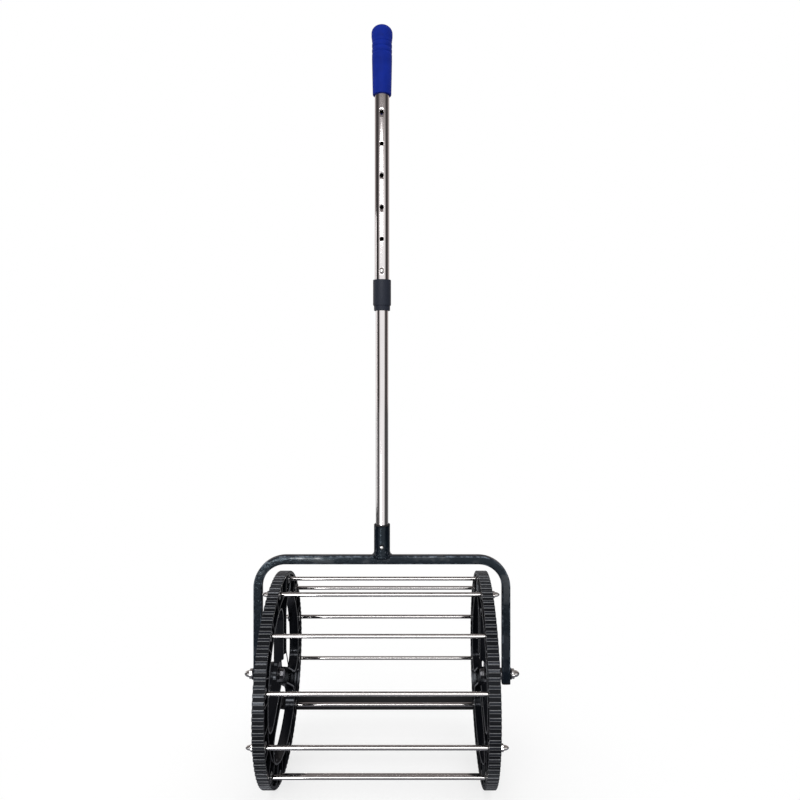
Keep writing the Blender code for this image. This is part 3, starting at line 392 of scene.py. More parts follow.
def lug(side, window):
    """A small round lug on a window's wall, with a hole nearer the axle. Its face runs between
    two circles with different centres, and the section wraps over both faces."""
    ring = circle(full_turn(40))
    outer, hole = np.array([lug_circle, 0]), np.array([lug_hole_circle, 0])
    centre = (outer, outer, outer, hole, hole, hole, hole, outer)
    radius = mm(5.5, 5.5, 5.2, 2.5, 2.2, 2.2, 2.5, 5.2)
    depth = mm(12.4, 14.4, 14.8, 14.8, 14.5, 12.3, 12, 12)
    flat = np.stack([place + size * ring for place, size in zip(centre, radius)])
    turn = np.degrees(np.arctan2(flat[..., 1], flat[..., 0])) + window + lug_lean
    points = on_drum(side, np.linalg.norm(flat, axis=-1), turn, depth[:, None])
    return grid_shell(points, True, True)


def hub(side):
    """The hub: a stout ring with a bore for the axle bolt and a shallow ring-shaped recess."""
    radius = joined(hub_bore, hub_bore, mm(4.9, 8.5, 9.2, 13.6, 14.3, 16.2, 16.8),
                    hub_radius, hub_radius, hub_radius, mm(16.6, 5))
    height = mm(10.1, 21.9, 22.5, 22.5, 21.9, 21.9, 22.5, 22.5, 22.3, 21.7, 14, 10, 9.5, 9.5)
    return turned((radius, height), *axle_frame(side, 0, 0), 96, ring=True)


class Wire:
    """One output of a shader node. Sums, differences, products, quotients, powers and sizes of
    wires and numbers add their Math nodes."""

    def __init__(self, socket):
        self.socket = socket

    def node(self, kind, settings=(), values=(), output=0):
        """A new node of a kind: its settings first, then its sockets, by name or by number."""
        tree = self.socket.id_data
        made = tree.nodes.new(kind)
        for name, setting in dict(settings).items():
            setattr(made, name, setting)
        for name, value in dict(values).items():
            if isinstance(value, Wire):
                tree.links.new(value.socket, made.inputs[name])
            else:
                made.inputs[name].default_value = value
        return Wire(made.outputs[output])

    def math(self, operation, *values):
        return self.node("ShaderNodeMath", {"operation": operation}, enumerate(values))

    def __add__(self, other):
        return self.math("ADD", self, other)

    def __sub__(self, other):
        return self.math("SUBTRACT", self, other)

    def __rsub__(self, other):
        return self.math("SUBTRACT", other, self)

    def __mul__(self, other):
        return self.math("MULTIPLY", self, other)

    def __truediv__(self, other):
        return self.math("DIVIDE", self, other)

    def __pow__(self, other):
        return self.math("POWER", self, other)

    def __abs__(self):
        return self.math("ABSOLUTE", self)

    __radd__, __rmul__ = __add__, __mul__

    def axes(self):
        """The x, y and z of these coordinates."""
        split = self.node("ShaderNodeSeparateXYZ", {}, {0: self}).socket.node.outputs
        return (Wire(split[k]) for k in range(3))

    def above(self, low, high):
        """0 below low, 1 above high, and a smooth rise between them."""
        return self.node("ShaderNodeMapRange", {"interpolation_type": "SMOOTHSTEP"},
                         {"Value": self, "From Min": low, "From Max": high})

    def stretched(self, scale, centre=(0, 0, 0)):
        """These coordinates measured from a centre, each axis with its own scale."""
        moved = self.node("ShaderNodeVectorMath", {"operation": "SUBTRACT"}, {0: self, 1: centre})
        return moved.node("ShaderNodeVectorMath", {"operation": "MULTIPLY"}, {0: moved, 1: scale})

    def noise(self, scale, detail=3, roughness=0.55):
        """Cloudy noise between 0 and 1 at these coordinates."""
        return self.node("ShaderNodeTexNoise", {}, {
            "Vector": self, "Scale": scale, "Detail": detail, "Roughness": roughness})

    def flecks(self, scale, core, edge):
        """Scattered round spots: 1 within a core of each, 0 outside its edge."""
        spots = self.node("ShaderNodeTexVoronoi", {}, {"Vector": self, "Scale": scale})
        return 1 - spots.above(core, edge)

    def blend(self, first, second):
        """A colour between first and second, by this wire as the share of the second."""
        first, second = (end if isinstance(end, Wire) else (*end, 1) for end in (first, second))
        return self.node("ShaderNodeMix", {"data_type": "RGBA"},
                         {0: self, 6: first, 7: second}, output=2)

    def relief(self, depth, strength=1, under=None):
        """A bump from this wire as a height in units of depth, on top of another bump."""
        values = {"Height": self, "Distance": depth, "Strength": strength}
        if under:
            values["Normal"] = under
        return self.node("ShaderNodeBump", {}, values)


def new_finish(name, **constants):
    """A material with constants set on its Principled shader, and its coordinates."""
    made = bpy.data.materials.new(name)
    made.use_nodes = True
    shader = made.node_tree.nodes["Principled BSDF"]
    for socket, value in constants.items():
        shader.inputs[socket.replace("_", " ")].default_value = value
    return made, Wire(shader.outputs[0]).node("ShaderNodeTexCoord", output=3)


def fed(made, **wires):
    """A material with wires linked to the sockets of its Principled shader."""
    shader = made.node_tree.nodes["Principled BSDF"]
    for socket, wire in wires.items():
        made.node_tree.links.new(wire.socket, shader.inputs[socket.replace("_", " ")])
    return made


def wheel_finish():
    """Black gloss plastic: a faint moulded ripple and fine scuffs that follow the roll. The teeth's
    lands are painted a patchy slate grey as a painted sheen, thin painted highlight lines run along
    the teeth's corners and the walls' inner edges, and the teeth's roots are dull and darkest."""
    made, place = new_finish("wheel_gloss", Specular_IOR_Level=0.3,
                             Specular_Tint=(0.86, 0.91, 1, 1))
    x, y, z = place.stretched((1, 1, 1), (0, 0, axle_height)).axes()
    depth = abs(x) - wheel_face
    radius = (y * y + z * z) ** 0.5
    land = radius.above(wheel_radius - 0.7 * MM, wheel_radius - 0.2 * MM)
    turn = x.math("ARCTAN2", z, -1 * y) * (tooth_count / (2 * math.pi))
    from_middle = abs(x.math("FRACT", turn + 0.5) - 0.5)
    corner = from_middle.above(0.12, 0.19) * (1 - from_middle.above(0.24, 0.27))
    corner = corner * radius.above(wheel_radius - 1.3 * MM, wheel_radius - 0.8 * MM)
    painted_inner_edge = 1 - depth.above(0.8 * MM, 1.6 * MM)
    painted_inner_edge = painted_inner_edge * (1 - radius.above(pocket_radius - MM, pocket_radius))
    root = radius.above(wheel_radius - 2.4 * MM, wheel_radius - 2.1 * MM)
    root = root * (1 - radius.above(wheel_radius - 1.9 * MM, wheel_radius - MM))
    cloud = place.noise(38)
    fine = place.noise(900, 4, 0.6)
    scuff = place.stretched((260, 900, 90)).noise(1, 5, 0.7).above(0.60, 0.72)
    # Painted sheen: the teeth's lands are painted a lighter slate grey in patches.
    rubbed = land * (0.25 + 0.9 * fine.above(0.42, 0.62) * cloud)
    colour = rubbed.blend((0.0030, 0.0035, 0.0050), (0.020, 0.023, 0.031))
    colour = (0.5 * scuff * (1 - root)).blend(colour, (0.020, 0.021, 0.024))
    # Painted highlights: thin pale lines on the teeth's corners and on the walls' inner edges.
    painted_edge_lines = (corner + 0.40 * painted_inner_edge) * (0.25 + 1.3 * fine * cloud)
    colour = painted_edge_lines.blend(colour, (0.24, 0.245, 0.255))
    rough = 0.10 + 0.06 * cloud + 0.05 * land + 0.08 * scuff + 0.04 * fine + 0.45 * root
    ripple = place.noise(230, 2).relief(0.00012, 0.5)
    return fed(made, Base_Color=colour, Roughness=rough, Normal=fine.relief(0.00002, 0.5, ripple))


wheel_gloss = wheel_finish()
for side, name in sides:
    shells = [rim_ring(side), window_plate(side), hub(side)]
    shells += [wheel_rib(side, turn + lean) for turn in rod_turns
               for lean in (-seat_rib_lean, seat_rib_lean)]
    shells += [rod_seat(side, turn) for turn in rod_turns]
    for spoke, window in zip(spokes, windows):
        shells += [curved_tie(side, spoke), chord_rib(side, window), lug(side, window)]
        shells += stub(side, spoke)
    wheel = shell_piece(f"{name}_wheel_moulding", shells, "drum", wheel_gloss)
    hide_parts(f"{name}_wheel")


# ----------------------------------------
# Rods and tie nuts. Twelve bright steel rods stand in a circle between the wheels. Eight end in
# blind seats. Four thicker ones go right through and hold the wheels with closed dome nuts.

rod_radius = 3 * MM
tie_radius = 3.25 * MM
rod_chamfer = 0.4 * MM
rod_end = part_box("plain_rod_1")[1][0]
tie_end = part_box("tie_rod_1")[1][0]
tie_nut_start = wheel_width + 0.3 * MM
tie_nut_flats = 9 * MM
tie_nut_height = 11 * MM
nut_crease = 25
even_grain = (500, 500, 500)


def chrome_finish(name, lines, tint=(0.92, 0.905, 0.89), clean=0.045):
    """Bright plated steel: fine lines along the axis with the least scale, cloudy polish, faint
    handling marks and a few darker pin pricks."""
    made, place = new_finish(name, Metallic=1)
    drawn = place.stretched(lines).noise(1, 2, 0.5)
    cloud = place.noise(24, 4)
    prick = place.flecks(420, 0.05, 0.16) * cloud.above(0.52, 0.62)
    dark = [part * 0.6 for part in tint]
    colour = (0.25 * drawn + 0.25 * cloud + 0.5 * prick).blend(tint, dark)
    rough = clean + 0.02 * drawn + 0.015 * cloud + 0.2 * prick
    return fed(made, Base_Color=colour, Roughness=rough, Normal=drawn.relief(0.000004, 0.2))


def rod(turn, radius, end):
    """A straight rod with a small chamfer on both ends, turned about its own length."""
    along = joined(-end, -end, rod_chamfer - end, np.linspace(-end, end, 25)[1:-1],
                   end - rod_chamfer, end, end)
    spread = np.full(len(along), radius)
    spread[[0, -1]] = 0
    spread[[1, -2]] = radius - rod_chamfer
    base = on_drum(1, rod_circle, turn, -wheel_face)
    return turned((spread, along), base, along_axle, upright, 40)


def hexagon_rows(flats, limit, round_part):
    """Radii round the turn: a closed face, a hexagon cut by cones, then a round part. A hexagon's
    radius is half its flats over the cosine of the angle from the nearest flat's middle, with its
    six edges just softened."""
    from_middle = (full_turn(96) + np.pi / 6) % (np.pi / 3) - np.pi / 6
    hexagon = np.minimum(flats / 2 / np.cos(from_middle), flats / 2 * 1.135)
    body = np.minimum(hexagon, limit[:, None])
    return np.concatenate([np.zeros((1, 96)), body, np.repeat(round_part[:, None], 96, 1)])


def dome_nut(flats, height, base, axis, across):
    """A closed nut. Its hexagon is cut by a cone at both ends, then a short neck leads to a long
    dome whose radius follows an ellipse up to the pole."""
    hexagon_height, dome = height * 0.36, flats / 2 * 0.76
    limit = flats / 2 * (1 + np.array([-0.5, -0.11, -0.02, 0.16, 0.2, 0.16, -0.02, -0.07, -0.20]))
    rise = hexagon_height * np.array([0, 0, 0.05, 0.13, 0.5, 0.87, 0.95, 1, 1, 1])
    bow = quarter(14)
    dome_rise = hexagon_height + (height - hexagon_height) * (0.05 + 0.95 * np.sin(bow))
    radius = hexagon_rows(flats, limit, joined(dome * 1.04, dome * np.cos(bow[:-1]), 0))
    return turned((radius, joined(0, rise, dome_rise)), base, axis, across, 96)


rod_chrome = chrome_finish("rod_chrome", (6, 700, 700), tint=(0.90, 0.88, 0.87))
nut_chrome = chrome_finish("nut_chrome", even_grain)
plain_number = tie_number = 0
for order, turn in enumerate(rod_turns):
    if order % 3 == 1:
        tie_number += 1
        made = shell_piece(f"bright_tie_rod_{tie_number}", [rod(turn, tie_radius, tie_end)],
                           "drum", rod_chrome)
        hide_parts(f"tie_rod_{tie_number}")
        for side, name in sides:
            shell = dome_nut(tie_nut_flats, tie_nut_height,
                             *axle_frame(side, rod_circle, turn, tie_nut_start))
            nut = shell_piece(f"closed_nut_{name}_{tie_number}", [shell], "drum", nut_chrome,
                              nut_crease)
            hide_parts(f"tie_nut_{name}_{tie_number}")
    else:
        plain_number += 1
        made = shell_piece(f"bright_rod_{plain_number}", [rod(turn, rod_radius, rod_end)],
                           "drum", rod_chrome)
        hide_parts(f"plain_rod_{plain_number}")


# ----------------------------------------
# Axle sets. On each side a hexagon bolt sits in the hub and carries a spacer, the brace's eye
# and the bail's arm between plated washers. A closed nut holds it outside the bail.

axle_flats = 13 * MM
washer_radii = {"head_washer": 8.5 * MM, "hub_spacer": 7 * MM,
                "arm_washer": 8.5 * MM, "nut_washer": 8.5 * MM}


def node_span(node):
    """Where a node starts and ends along X, as distances from the drum's middle."""
    low, high = corners(node)
    return sorted((abs(low[0]), abs(high[0])))


def on_axle(side, start=0):
    """Base point, outward axis and cross direction of something turned about the axle."""
    return (side * start, 0, axle_height), (side, 0, 0), upright


def washer(side, start, end, outer):
    """A ring with slightly rolled edges, between two distances from the drum's middle."""
    edge = min(0.25 * MM, (end - start) / 4)
    radius = hub_bore, hub_bore, outer - edge, outer, outer, outer - edge
    height = start, end, end, end - edge, start + edge, start
    return turned((radius, height), *on_axle(side), 64, ring=True)


def axle_bolt(side, start, end):
    """A hexagon head, cut by a cone on its free face, and a plain shank with a chamfered end."""
    limit = axle_flats / 2 + mm(-2.2, -0.45, -0.1, 0.55, 2, 2)
    radius = hexagon_rows(axle_flats, limit, mm(4, 4, 3.5, 0))
    height = joined(mm(0, 0, 0, 0.12, 0.35, 2.5, 5.3, 5.3), end - start - mm(0.5, 0, 0))
    return turned((radius, height), *on_axle(side, start), 96)


dull_plate = chrome_finish("dull_plate", even_grain, tint=(0.22, 0.22, 0.235), clean=0.26)
for side, name in sides:
    fittings = {f"{name}_axle_bolt": axle_bolt(side, *node_span(f"{name}_axle_bolt"))}
    for kind, outer in washer_radii.items():
        fittings[f"{name}_{kind}"] = washer(side, *node_span(f"{name}_{kind}"), outer)
    start, end = node_span(f"{name}_axle_nut")
    fittings[f"{name}_axle_nut"] = dome_nut(axle_flats, end - start, *on_axle(side, start))
    for node, shell in fittings.items():
        finish = nut_chrome if node.endswith("nut") else dull_plate
        made = shell_piece(f"plated_{node}", [shell], "frame", finish, nut_crease)
        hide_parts(node)


# ----------------------------------------
# Bail. One square steel tube, bent twice and painted a deep blue black. Its arms stand on the
# axle bolts and its bar passes over the drum. A plastic plug closes each open end.

bail_size = 13 * MM
bail_corner = 2.5 * MM
bail_wall = 1.2 * MM
bail_low, bail_high = corners("bail")
arm_x = bail_high[0] - bail_size / 2
bar_z = bail_high[2] - bail_size / 2
bend_radius = 42 * MM


def bail_line(inset):
    """The bail's centre line as points and the directions out of its bend: an arm, a quarter
    circle, the bar, a quarter circle and an arm. inset shortens both open ends."""
    bend = quarter(25)
    arm = np.linspace(bail_low[2] + inset, bar_z - bend_radius, 22)[:-1]
    bar = np.linspace(arm_x - bend_radius, bend_radius - arm_x, 40)[1:-1]
    x = joined(np.full(21, arm_x), arm_x - bend_radius + bend_radius * np.cos(bend), bar)
    z = joined(arm, bar_z - bend_radius + bend_radius * np.sin(bend), np.full(38, bar_z))
    turn = joined(np.zeros(21), bend, np.full(38, np.pi / 2))
    x, z, turn = joined(x, -x[45::-1]), joined(z, z[45::-1]), joined(turn, np.pi - turn[45::-1])
    return (np.stack([x, 0 * x, z], axis=-1),
            np.stack([np.cos(turn), 0 * turn, np.sin(turn)], axis=-1))


def bail_tube():
    """The bent tube as one closed sheet: along the outside, over a rounded lip, back along the
    bore and over the other lip. A point is the line's point plus the section in its plane."""
    outline, out = round_box(bail_size, bail_size, bail_corner, 7)
    sheets = []
    for inset, depth in ((0.25 * MM, 0), (0.25 * MM, bail_wall), (0, bail_wall / 2)):
        path, outwards = bail_line(inset)
        section = outline - depth * out
        sheets.append(path[:, None] + section[:, :1] * outwards[:, None]
                      + section[:, 1:] * (0, 1, 0))
    outside, bore, lips = sheets
    return grid_shell(np.concatenate([outside, lips[-1:], bore[::-1], lips[:1]]), True, True)


def cut_holes(piece, holes):
    """Cuts closed shells out of a piece and keeps only the finished mesh."""
    for shell in holes:
        cutter = shell_piece("cutter", [shell], "frame")
        step = piece.modifiers.new("hole", "BOOLEAN")
        step.operation, step.solver, step.object = "DIFFERENCE", "EXACT", cutter
        graph = bpy.context.evaluated_depsgraph_get()
        mesh = bpy.data.meshes.new_from_object(piece.evaluated_get(graph))
        piece.modifiers.clear()
        piece.data = mesh
        bpy.data.objects.remove(cutter)


def paint_finish():
    """Deep blue-black gloss paint: orange peel, tiny pale flecks painted as glints, and patches of
    thicker, glossier paint. Painted highlights run pale and patchy along the square tube's corners,
    where the distances from the tube's centre line add up to most, and weld spatter shows through
    round the socket's foot."""
    made, place = new_finish("bail_paint", Specular_IOR_Level=0.3,
                             Specular_Tint=(0.68, 0.86, 1, 1), Coat_Roughness=0.04)
    x, y, z = place.axes()
    along = x.math("MAXIMUM", abs(x) - (arm_x - bend_radius), 0)
    rise = x.math("MAXIMUM", z - (bar_z - bend_radius), 0)
    off_line = abs((along * along + rise * rise) ** 0.5 - bend_radius)
    off_middle = abs(y)
    on_tube = 1 - x.math("MAXIMUM", off_line, off_middle).above(
        bail_size / 2 + 0.05 * MM, bail_size / 2 + 0.2 * MM)
    corner = (off_line + off_middle).above(bail_size - 2.4 * MM, bail_size - 1.6 * MM) * on_tube
    cloud = place.noise(30)
    peel = place.noise(240, 2, 0.6)
    rub = place.noise(110, 4, 0.65)
    foot = 1 - abs(x).above(9 * MM, 17 * MM)
    foot = foot * (1 - z.above(bar_z + 10 * MM, bar_z + 24 * MM))
    # Pale flecks, painted as glints of the orange peel.
    fleck = place.flecks(1100, 0.06, 0.20) * place.noise(90).above(0.46, 0.60)
    spatter = foot * place.noise(420, 3, 0.7).above(0.60, 0.68)
    colour = cloud.above(0.35, 0.7).blend((0.0028, 0.0048, 0.0085), (0.0050, 0.0090, 0.0150))
    colour = (0.55 * fleck).blend(colour, (0.16, 0.19, 0.25))
    # Painted highlights: the tube's corners are painted pale in patches.
    colour = (corner * (0.10 + 0.75 * rub.above(0.46, 0.64))).blend(colour, (0.15, 0.18, 0.22))
    colour = (0.7 * spatter).blend(colour, (0.30, 0.33, 0.38))
    rough = 0.10 + 0.06 * cloud + 0.12 * fleck + 0.2 * spatter
    return fed(made, Base_Color=colour, Roughness=rough,
               Normal=spatter.relief(0.0004, 0.8, peel.relief(0.0005, 0.8)),
               Coat_Weight=0.08 + 0.9 * cloud.above(0.50, 0.62))


bail_paint = paint_finish()
bail_piece = shell_piece("painted_bail", [bail_tube()], "frame", bail_paint)
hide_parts("bail")


def plug_finish():
    """Dull black plastic with a fine moulded grain and paler rubbed spots."""
    made, place = new_finish("plug_grain", Specular_IOR_Level=0.4)
    grain = place.noise(1500, 2)
    rubbed = place.noise(160, 4, 0.6).above(0.55, 0.75)
    colour = (0.5 * rubbed + 0.2 * grain).blend((0.012, 0.012, 0.014), (0.035, 0.035, 0.037))
    return fed(made, Base_Color=colour, Roughness=0.48 + 0.14 * grain,
               Normal=grain.relief(0.00004, 0.6))


def dress(node, finish):
    """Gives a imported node's own mesh a finish in each of its material slots."""
    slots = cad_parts[node].data.materials
    for k in range(len(slots)):
        slots[k] = finish


plug_grain = plug_finish()
dress("left_end_plug", plug_grain)
dress("right_end_plug", plug_grain)


# ----------------------------------------
# Rear brace. A flat steel strip, bent to a wide U and painted black. It passes behind the drum
# and keeps the arms apart. Its two round ends are drilled and sit on the axle bolts.

brace_turn = math.radians(-139)
brace_width = 22 * MM
brace_thickness = 3 * MM
brace_bend = 9 * MM
brace_reach = wheel_radius + 15 * MM
brace_x = node_span("left_hub_spacer")[1] + 0.3 * MM + brace_thickness / 2
brace_out = np.array([0, -math.cos(brace_turn), math.sin(brace_turn)])
eye_radius = brace_width / 2 + 0.6 * MM


def brace_strip():
    """The bent strip. Its middle line is an arm, a bend, the bar, a bend and an arm. The strip is
    as wide as the eye's circle allows near each end, so both ends close in a round eye."""
    centre_x, centre_out = brace_x - brace_bend, brace_reach - brace_bend
    eye = -quarter(22)[::-1]
    corner = quarter(15)[1:]
    x = joined(np.full(46, brace_x), centre_x + brace_bend * np.cos(corner),
               np.linspace(centre_x, 0, 22)[1:])
    out = joined(eye_radius * np.sin(eye), np.linspace(2 * MM, centre_out, 24),
                 centre_out + brace_bend * np.sin(corner), np.full(21, brace_reach))
    lean = joined(np.zeros(46), corner, np.full(21, np.pi / 2))
    half = np.maximum(brace_width / 2, np.sqrt(np.maximum(eye_radius ** 2 - out ** 2, 0)))
    half[:22] = eye_radius * np.cos(eye)
    x, out, lean, half = (joined(line, back) for line, back in (
        (x, -x[-2::-1]), (out, out[-2::-1]), (lean, np.pi - lean[-2::-1]), (half, half[-2::-1])))
    soft = mm(0, 0.25, 0.7, 1.3)
    edge = brace_thickness / 2 - mm(1.1, 0.35, 0, 0)
    way = joined(np.ones(4), 0, -np.ones(4))
    inset = joined(soft, 0, soft[::-1])
    lift = joined(edge, brace_thickness / 2, edge[::-1])
    across = joined(way, -way) * np.maximum(half[:, None] - joined(inset, inset), 0)
    lift = joined(lift, -lift)
    middle = np.stack([x, 0 * x, 0 * x + axle_height], axis=-1) + out[:, None] * brace_out
    normal = np.cos(lean)[:, None] * along_axle + np.sin(lean)[:, None] * brace_out
    points = (middle[:, None] + across[..., None] * np.cross(along_axle, brace_out)
              + lift[None, :, None] * normal[:, None])
    return grid_shell(points, wrap_columns=True)


def strip_finish():
    """Satin black paint on flat steel: a low long ripple, a soft grain and small rubs."""
    made, place = new_finish("strip_paint", Specular_IOR_Level=0.5)
    grain = place.noise(800)
    rub = place.stretched((40, 300, 300)).noise(1, 5, 0.7).above(0.62, 0.76)
    colour = (0.4 * rub + 0.15 * grain).blend((0.0065, 0.0068, 0.0085), (0.035, 0.036, 0.04))
    return fed(made, Base_Color=colour, Roughness=0.30 + 0.12 * grain + 0.15 * rub,
               Normal=grain.relief(0.00004, 0.5, place.noise(60, 1).relief(0.0003, 0.3)))


brace = shell_piece("painted_rear_brace", [brace_strip()], "frame", strip_finish())
cut_holes(brace, [pin(hub_bore, -5 * MM, 5 * MM, (side * brace_x, 0, axle_height),
                      along_axle, upright, 32) for side in (-1, 1)])
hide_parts("rear_brace")


# ----------------------------------------
# Socket. A short round tube, notched to sit on the bar, welded all round and painted with the
# bail. A black plastic bush lines it, and the bush's lip lies on its rim.

def heights(node):
    """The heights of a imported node's foot and top."""
    return (corner[2] for corner in corners(node))


socket_foot, socket_rim = heights("pole_socket")
bush_foot, bush_top = heights("socket_bush")
bar_top = bail_high[2]
socket_radius = 12.2 * MM
socket_bore = 10.9 * MM
notch_half = 6.8 * MM
notch_length = 60 * MM
notch_foot = socket_foot - 10 * MM
weld_swell = 1.1 * MM
weld_flare = 3.4 * MM
button_hole_radius = 3.2 * MM
socket_button_z = bar_top + 15 * MM
to_front = (0, -1, 0)


def about_pole(radius, height, count=96, ring=True):
    """A profile of radius and height turned about the pole's axis."""
    return turned((radius, height), (0, 0, 0), upright, along_axle, count, ring)


def socket_tube():
    """The socket turned as a ring. Outside its foot the weld adds overlapping ripples that run
    round it, and a hollow flare that spreads to both sides, where the bar's top carries it. So
    the radius there depends on height and angle."""
    angle = full_turn(144)
    low, high = socket_foot, socket_rim
    outside = joined(low, low + 0.2 * MM, np.linspace(low + 0.6 * MM, bar_top + 8 * MM, 24),
                     np.linspace(bar_top + 9 * MM, high - 0.5 * MM, 8), high - 0.15 * MM, high)
    bore = joined(high, high - 0.3 * MM, np.linspace(high - MM, low + 0.3 * MM, 8), low)
    t = np.clip((outside - low) / (bar_top + 2 * MM - low), 0, 1)
    swell = np.sqrt(np.clip(1 - (2 * t - 1) ** 2, 0, 1)) * (t < 1)
    ripple = 0.72 + 0.28 * np.abs(np.sin(14 * angle + 2.2 * t[:, None]))
    above = (outside - bar_top) / (8 * MM)
    flare = np.where(above > 0, np.clip(1 - above, 0, 1) ** 2.4, np.clip(1 + above * 2, 0, 1))
    radius = socket_radius + weld_swell * swell[:, None] * ripple
    radius += weld_flare * flare[:, None] * np.cos(angle) ** 4 * (0.85 + 0.15 * ripple)
    radius[-2:] -= mm(0.12, 0.4)[:, None]
    inner = np.full((len(bore), 144), socket_bore)
    inner[0] += 0.3 * MM
    return about_pole(np.concatenate([radius, inner]), joined(outside, bore), 144)


def front_hole(height, near=5 * MM):
    """A round pin in front of the pole's axis, to cut a button's hole with. It is turned by half
    a step, so none of its edges meets the tube's front line."""
    half_step = math.pi / 48
    across = (math.cos(half_step), 0, math.sin(half_step))
    return pin(button_hole_radius, near, 20 * MM, (0, 0, height), to_front, across, 48)


socket = shell_piece("welded_socket", [socket_tube()], "frame", bail_paint)
notch = carried(round_box(notch_length, bar_top - notch_foot, 0.1 * MM, 2),
                [(0, y, (notch_foot + bar_top) / 2) for y in (-notch_half, notch_half)],
                along_axle, upright)
cut_holes(socket, [notch, front_hole(socket_button_z)])
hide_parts("pole_socket")

bush = shell_piece("lipped_bush", [about_pole(
    mm(10.6, 10.6, 12, 12.2, 12.2, 11.9, 10.2, 9.8, 9.8),
    joined(bush_foot, bush_top - mm(1.5, 1.5, 1.2, 0.3, 0, 0, 0.4), bush_foot))],
    "frame", plug_grain)
cut_holes(bush, [front_hole(socket_button_z)])
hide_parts("socket_bush")


# ----------------------------------------
# Pole. Two plated steel tubes, one inside the other. The lower one stands in the socket's bush.
# The upper one has six holes down its front, and a collar guides it below.

lower_radius = 9.5 * MM
upper_radius = 11 * MM
tube_wall = 1.2 * MM
telescope_z = axle_height + 614 * MM
telescope_holes = telescope_z + 48 * MM * np.arange(6)


def pole_tube(outer, low, high):
    """A plain tube standing on end, with softened outer edges."""
    edge = 0.25 * MM
    middle = np.linspace(low + 3 * edge, high - 3 * edge, 60)
    height = joined(low, low + edge, middle, high - edge, high, high, middle[::-1], low)
    radius = joined(outer - edge, np.full(62, outer), outer - edge, np.full(62, outer - tube_wall))
    return about_pole(radius, height)


tube_chrome = chrome_finish("tube_chrome", (500, 500, 5), tint=(0.94, 0.90, 0.90), clean=0.07)
for node, outer, body, near, places in (
    ("lower_tube", lower_radius, "pole", 4 * MM, (socket_button_z, telescope_z)),
    ("upper_tube", upper_radius, "handle", 5 * MM, telescope_holes),
):
    made = shell_piece(f"plated_{node}", [pole_tube(outer, *heights(node))], body, tube_chrome)
    cut_holes(made, [front_hole(height, near) for height in places])
    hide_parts(node)


# ----------------------------------------
# Collar. A slate-coloured plastic sleeve pressed on the upper tube's lower end. It has a thinner
# lip below and a floor with a hole that the lower tube runs through.

def collar_ring():
    """The collar turned as a ring, from its lip up to its mouth and down its stepped bore."""
    foot, top = heights("collar")
    radius = mm(11.9, 12.2, 12.4, 12.5, 13.6, 13.7, 13.7, 13.55, 13.1, 11.6, 11.3, 11.3, 9.8, 9.8,
                10.2)
    height = joined(foot + mm(0, 0.4, 7.4, 7.8, 8.1, 8.6), top - mm(1.2, 0.35, 0, 0, 0.5),
                    foot + mm(2, 2, 0.4, 0))
    return about_pole(radius, height)


def collar_finish():
    """Dark slate plastic with a soft sheen, fine grain and faint upright rubs."""
    made, place = new_finish("collar_slate", Specular_IOR_Level=0.2)
    grain = place.noise(1300, 2)
    rub = place.stretched((700, 700, 30)).noise(1, 4, 0.65).above(0.58, 0.74)
    mottle = 0.35 * rub + 0.25 * place.noise(70)
    colour = mottle.blend((0.020, 0.024, 0.038), (0.040, 0.047, 0.066))
    return fed(made, Base_Color=colour, Roughness=0.36 + 0.12 * grain + 0.10 * rub,
               Normal=grain.relief(0.00003, 0.5))


collar = shell_piece("slate_collar", [collar_ring()], "handle", collar_finish())
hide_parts("collar")


# ----------------------------------------
# Grip. A soft royal-blue sleeve pushed over the top of the upper tube. Its domed head stands a
# little proud of the body, three grooves run round below it, and the body narrows at its end.

grip_foot, grip_top = heights("grip")
grip_dome = 13 * MM
grip_grooves = mm(28, 35.8, 43.6)
groove_depth = 0.75 * MM
groove_width = 1.3 * MM
head_radius = 16.1 * MM


def grip_sleeve():
    """The grip turned from its mouth to its pole. The body's radius is even, narrows below the
    middle and swells to the head by a smooth step, less a rounded groove at three heights. The
    dome is a quarter ellipse."""
    rise = np.linspace(grip_foot + 1.2 * MM, grip_top - grip_dome, 210)
    below = grip_top - rise
    length = grip_top - grip_foot
    body = np.interp(below, [length / 2, length], mm(15.3, 14.2))
    body += 0.8 * MM * eased(25 * MM - below, 7.5 * MM)
    for groove in grip_grooves:
        body -= groove_depth * np.exp(-((below - groove) / groove_width) ** 2)
    bow = quarter(32)[1:]
    radius = joined(mm(0, 11.1, 11.3, 11.3, 11.8, 12.2, 13.4, 13.95, 14.15), body,
                    head_radius * np.cos(bow[:-1]), 0)
    height = joined(grip_top - mm(6, 6, 6.4), grip_foot + mm(0.8, 0, 0, 0, 0.25, 0.7),
                    rise, grip_top - grip_dome + grip_dome * np.sin(bow))
    return about_pole(radius, height, 128, ring=False)


def grip_finish():
    """Royal-blue soft plastic: a fine stipple, a cloudy sheen where hands polish it, and a few
    faint darker smudges."""
    made, place = new_finish("grip_blue", Specular_IOR_Level=0.08)
    stipple = place.noise(1700, 2, 0.6)
    cloud = place.noise(45, 4, 0.6)
    smudge = place.stretched((120, 120, 45)).noise(1, 5, 0.7).above(0.56, 0.76)
    colour = cloud.above(0.3, 0.75).blend((0.0030, 0.018, 0.245), (0.0050, 0.024, 0.310))
    colour = (0.30 * smudge).blend(colour, (0.004, 0.011, 0.14))
    return fed(made, Base_Color=colour, Roughness=0.40 + 0.14 * cloud + 0.08 * stipple,
               Normal=stipple.relief(0.00005, 0.6))


grip = shell_piece("blue_grip", [grip_sleeve()], "handle", grip_finish())
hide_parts("grip")


# ----------------------------------------
# Buttons and springs. Each tube is held by a plated button that a folded leaf presses out
# through the holes. The leaf is plain spring steel and lies inside the lower tube.

button_radius = 2.9 * MM
flange_radius = 4.2 * MM


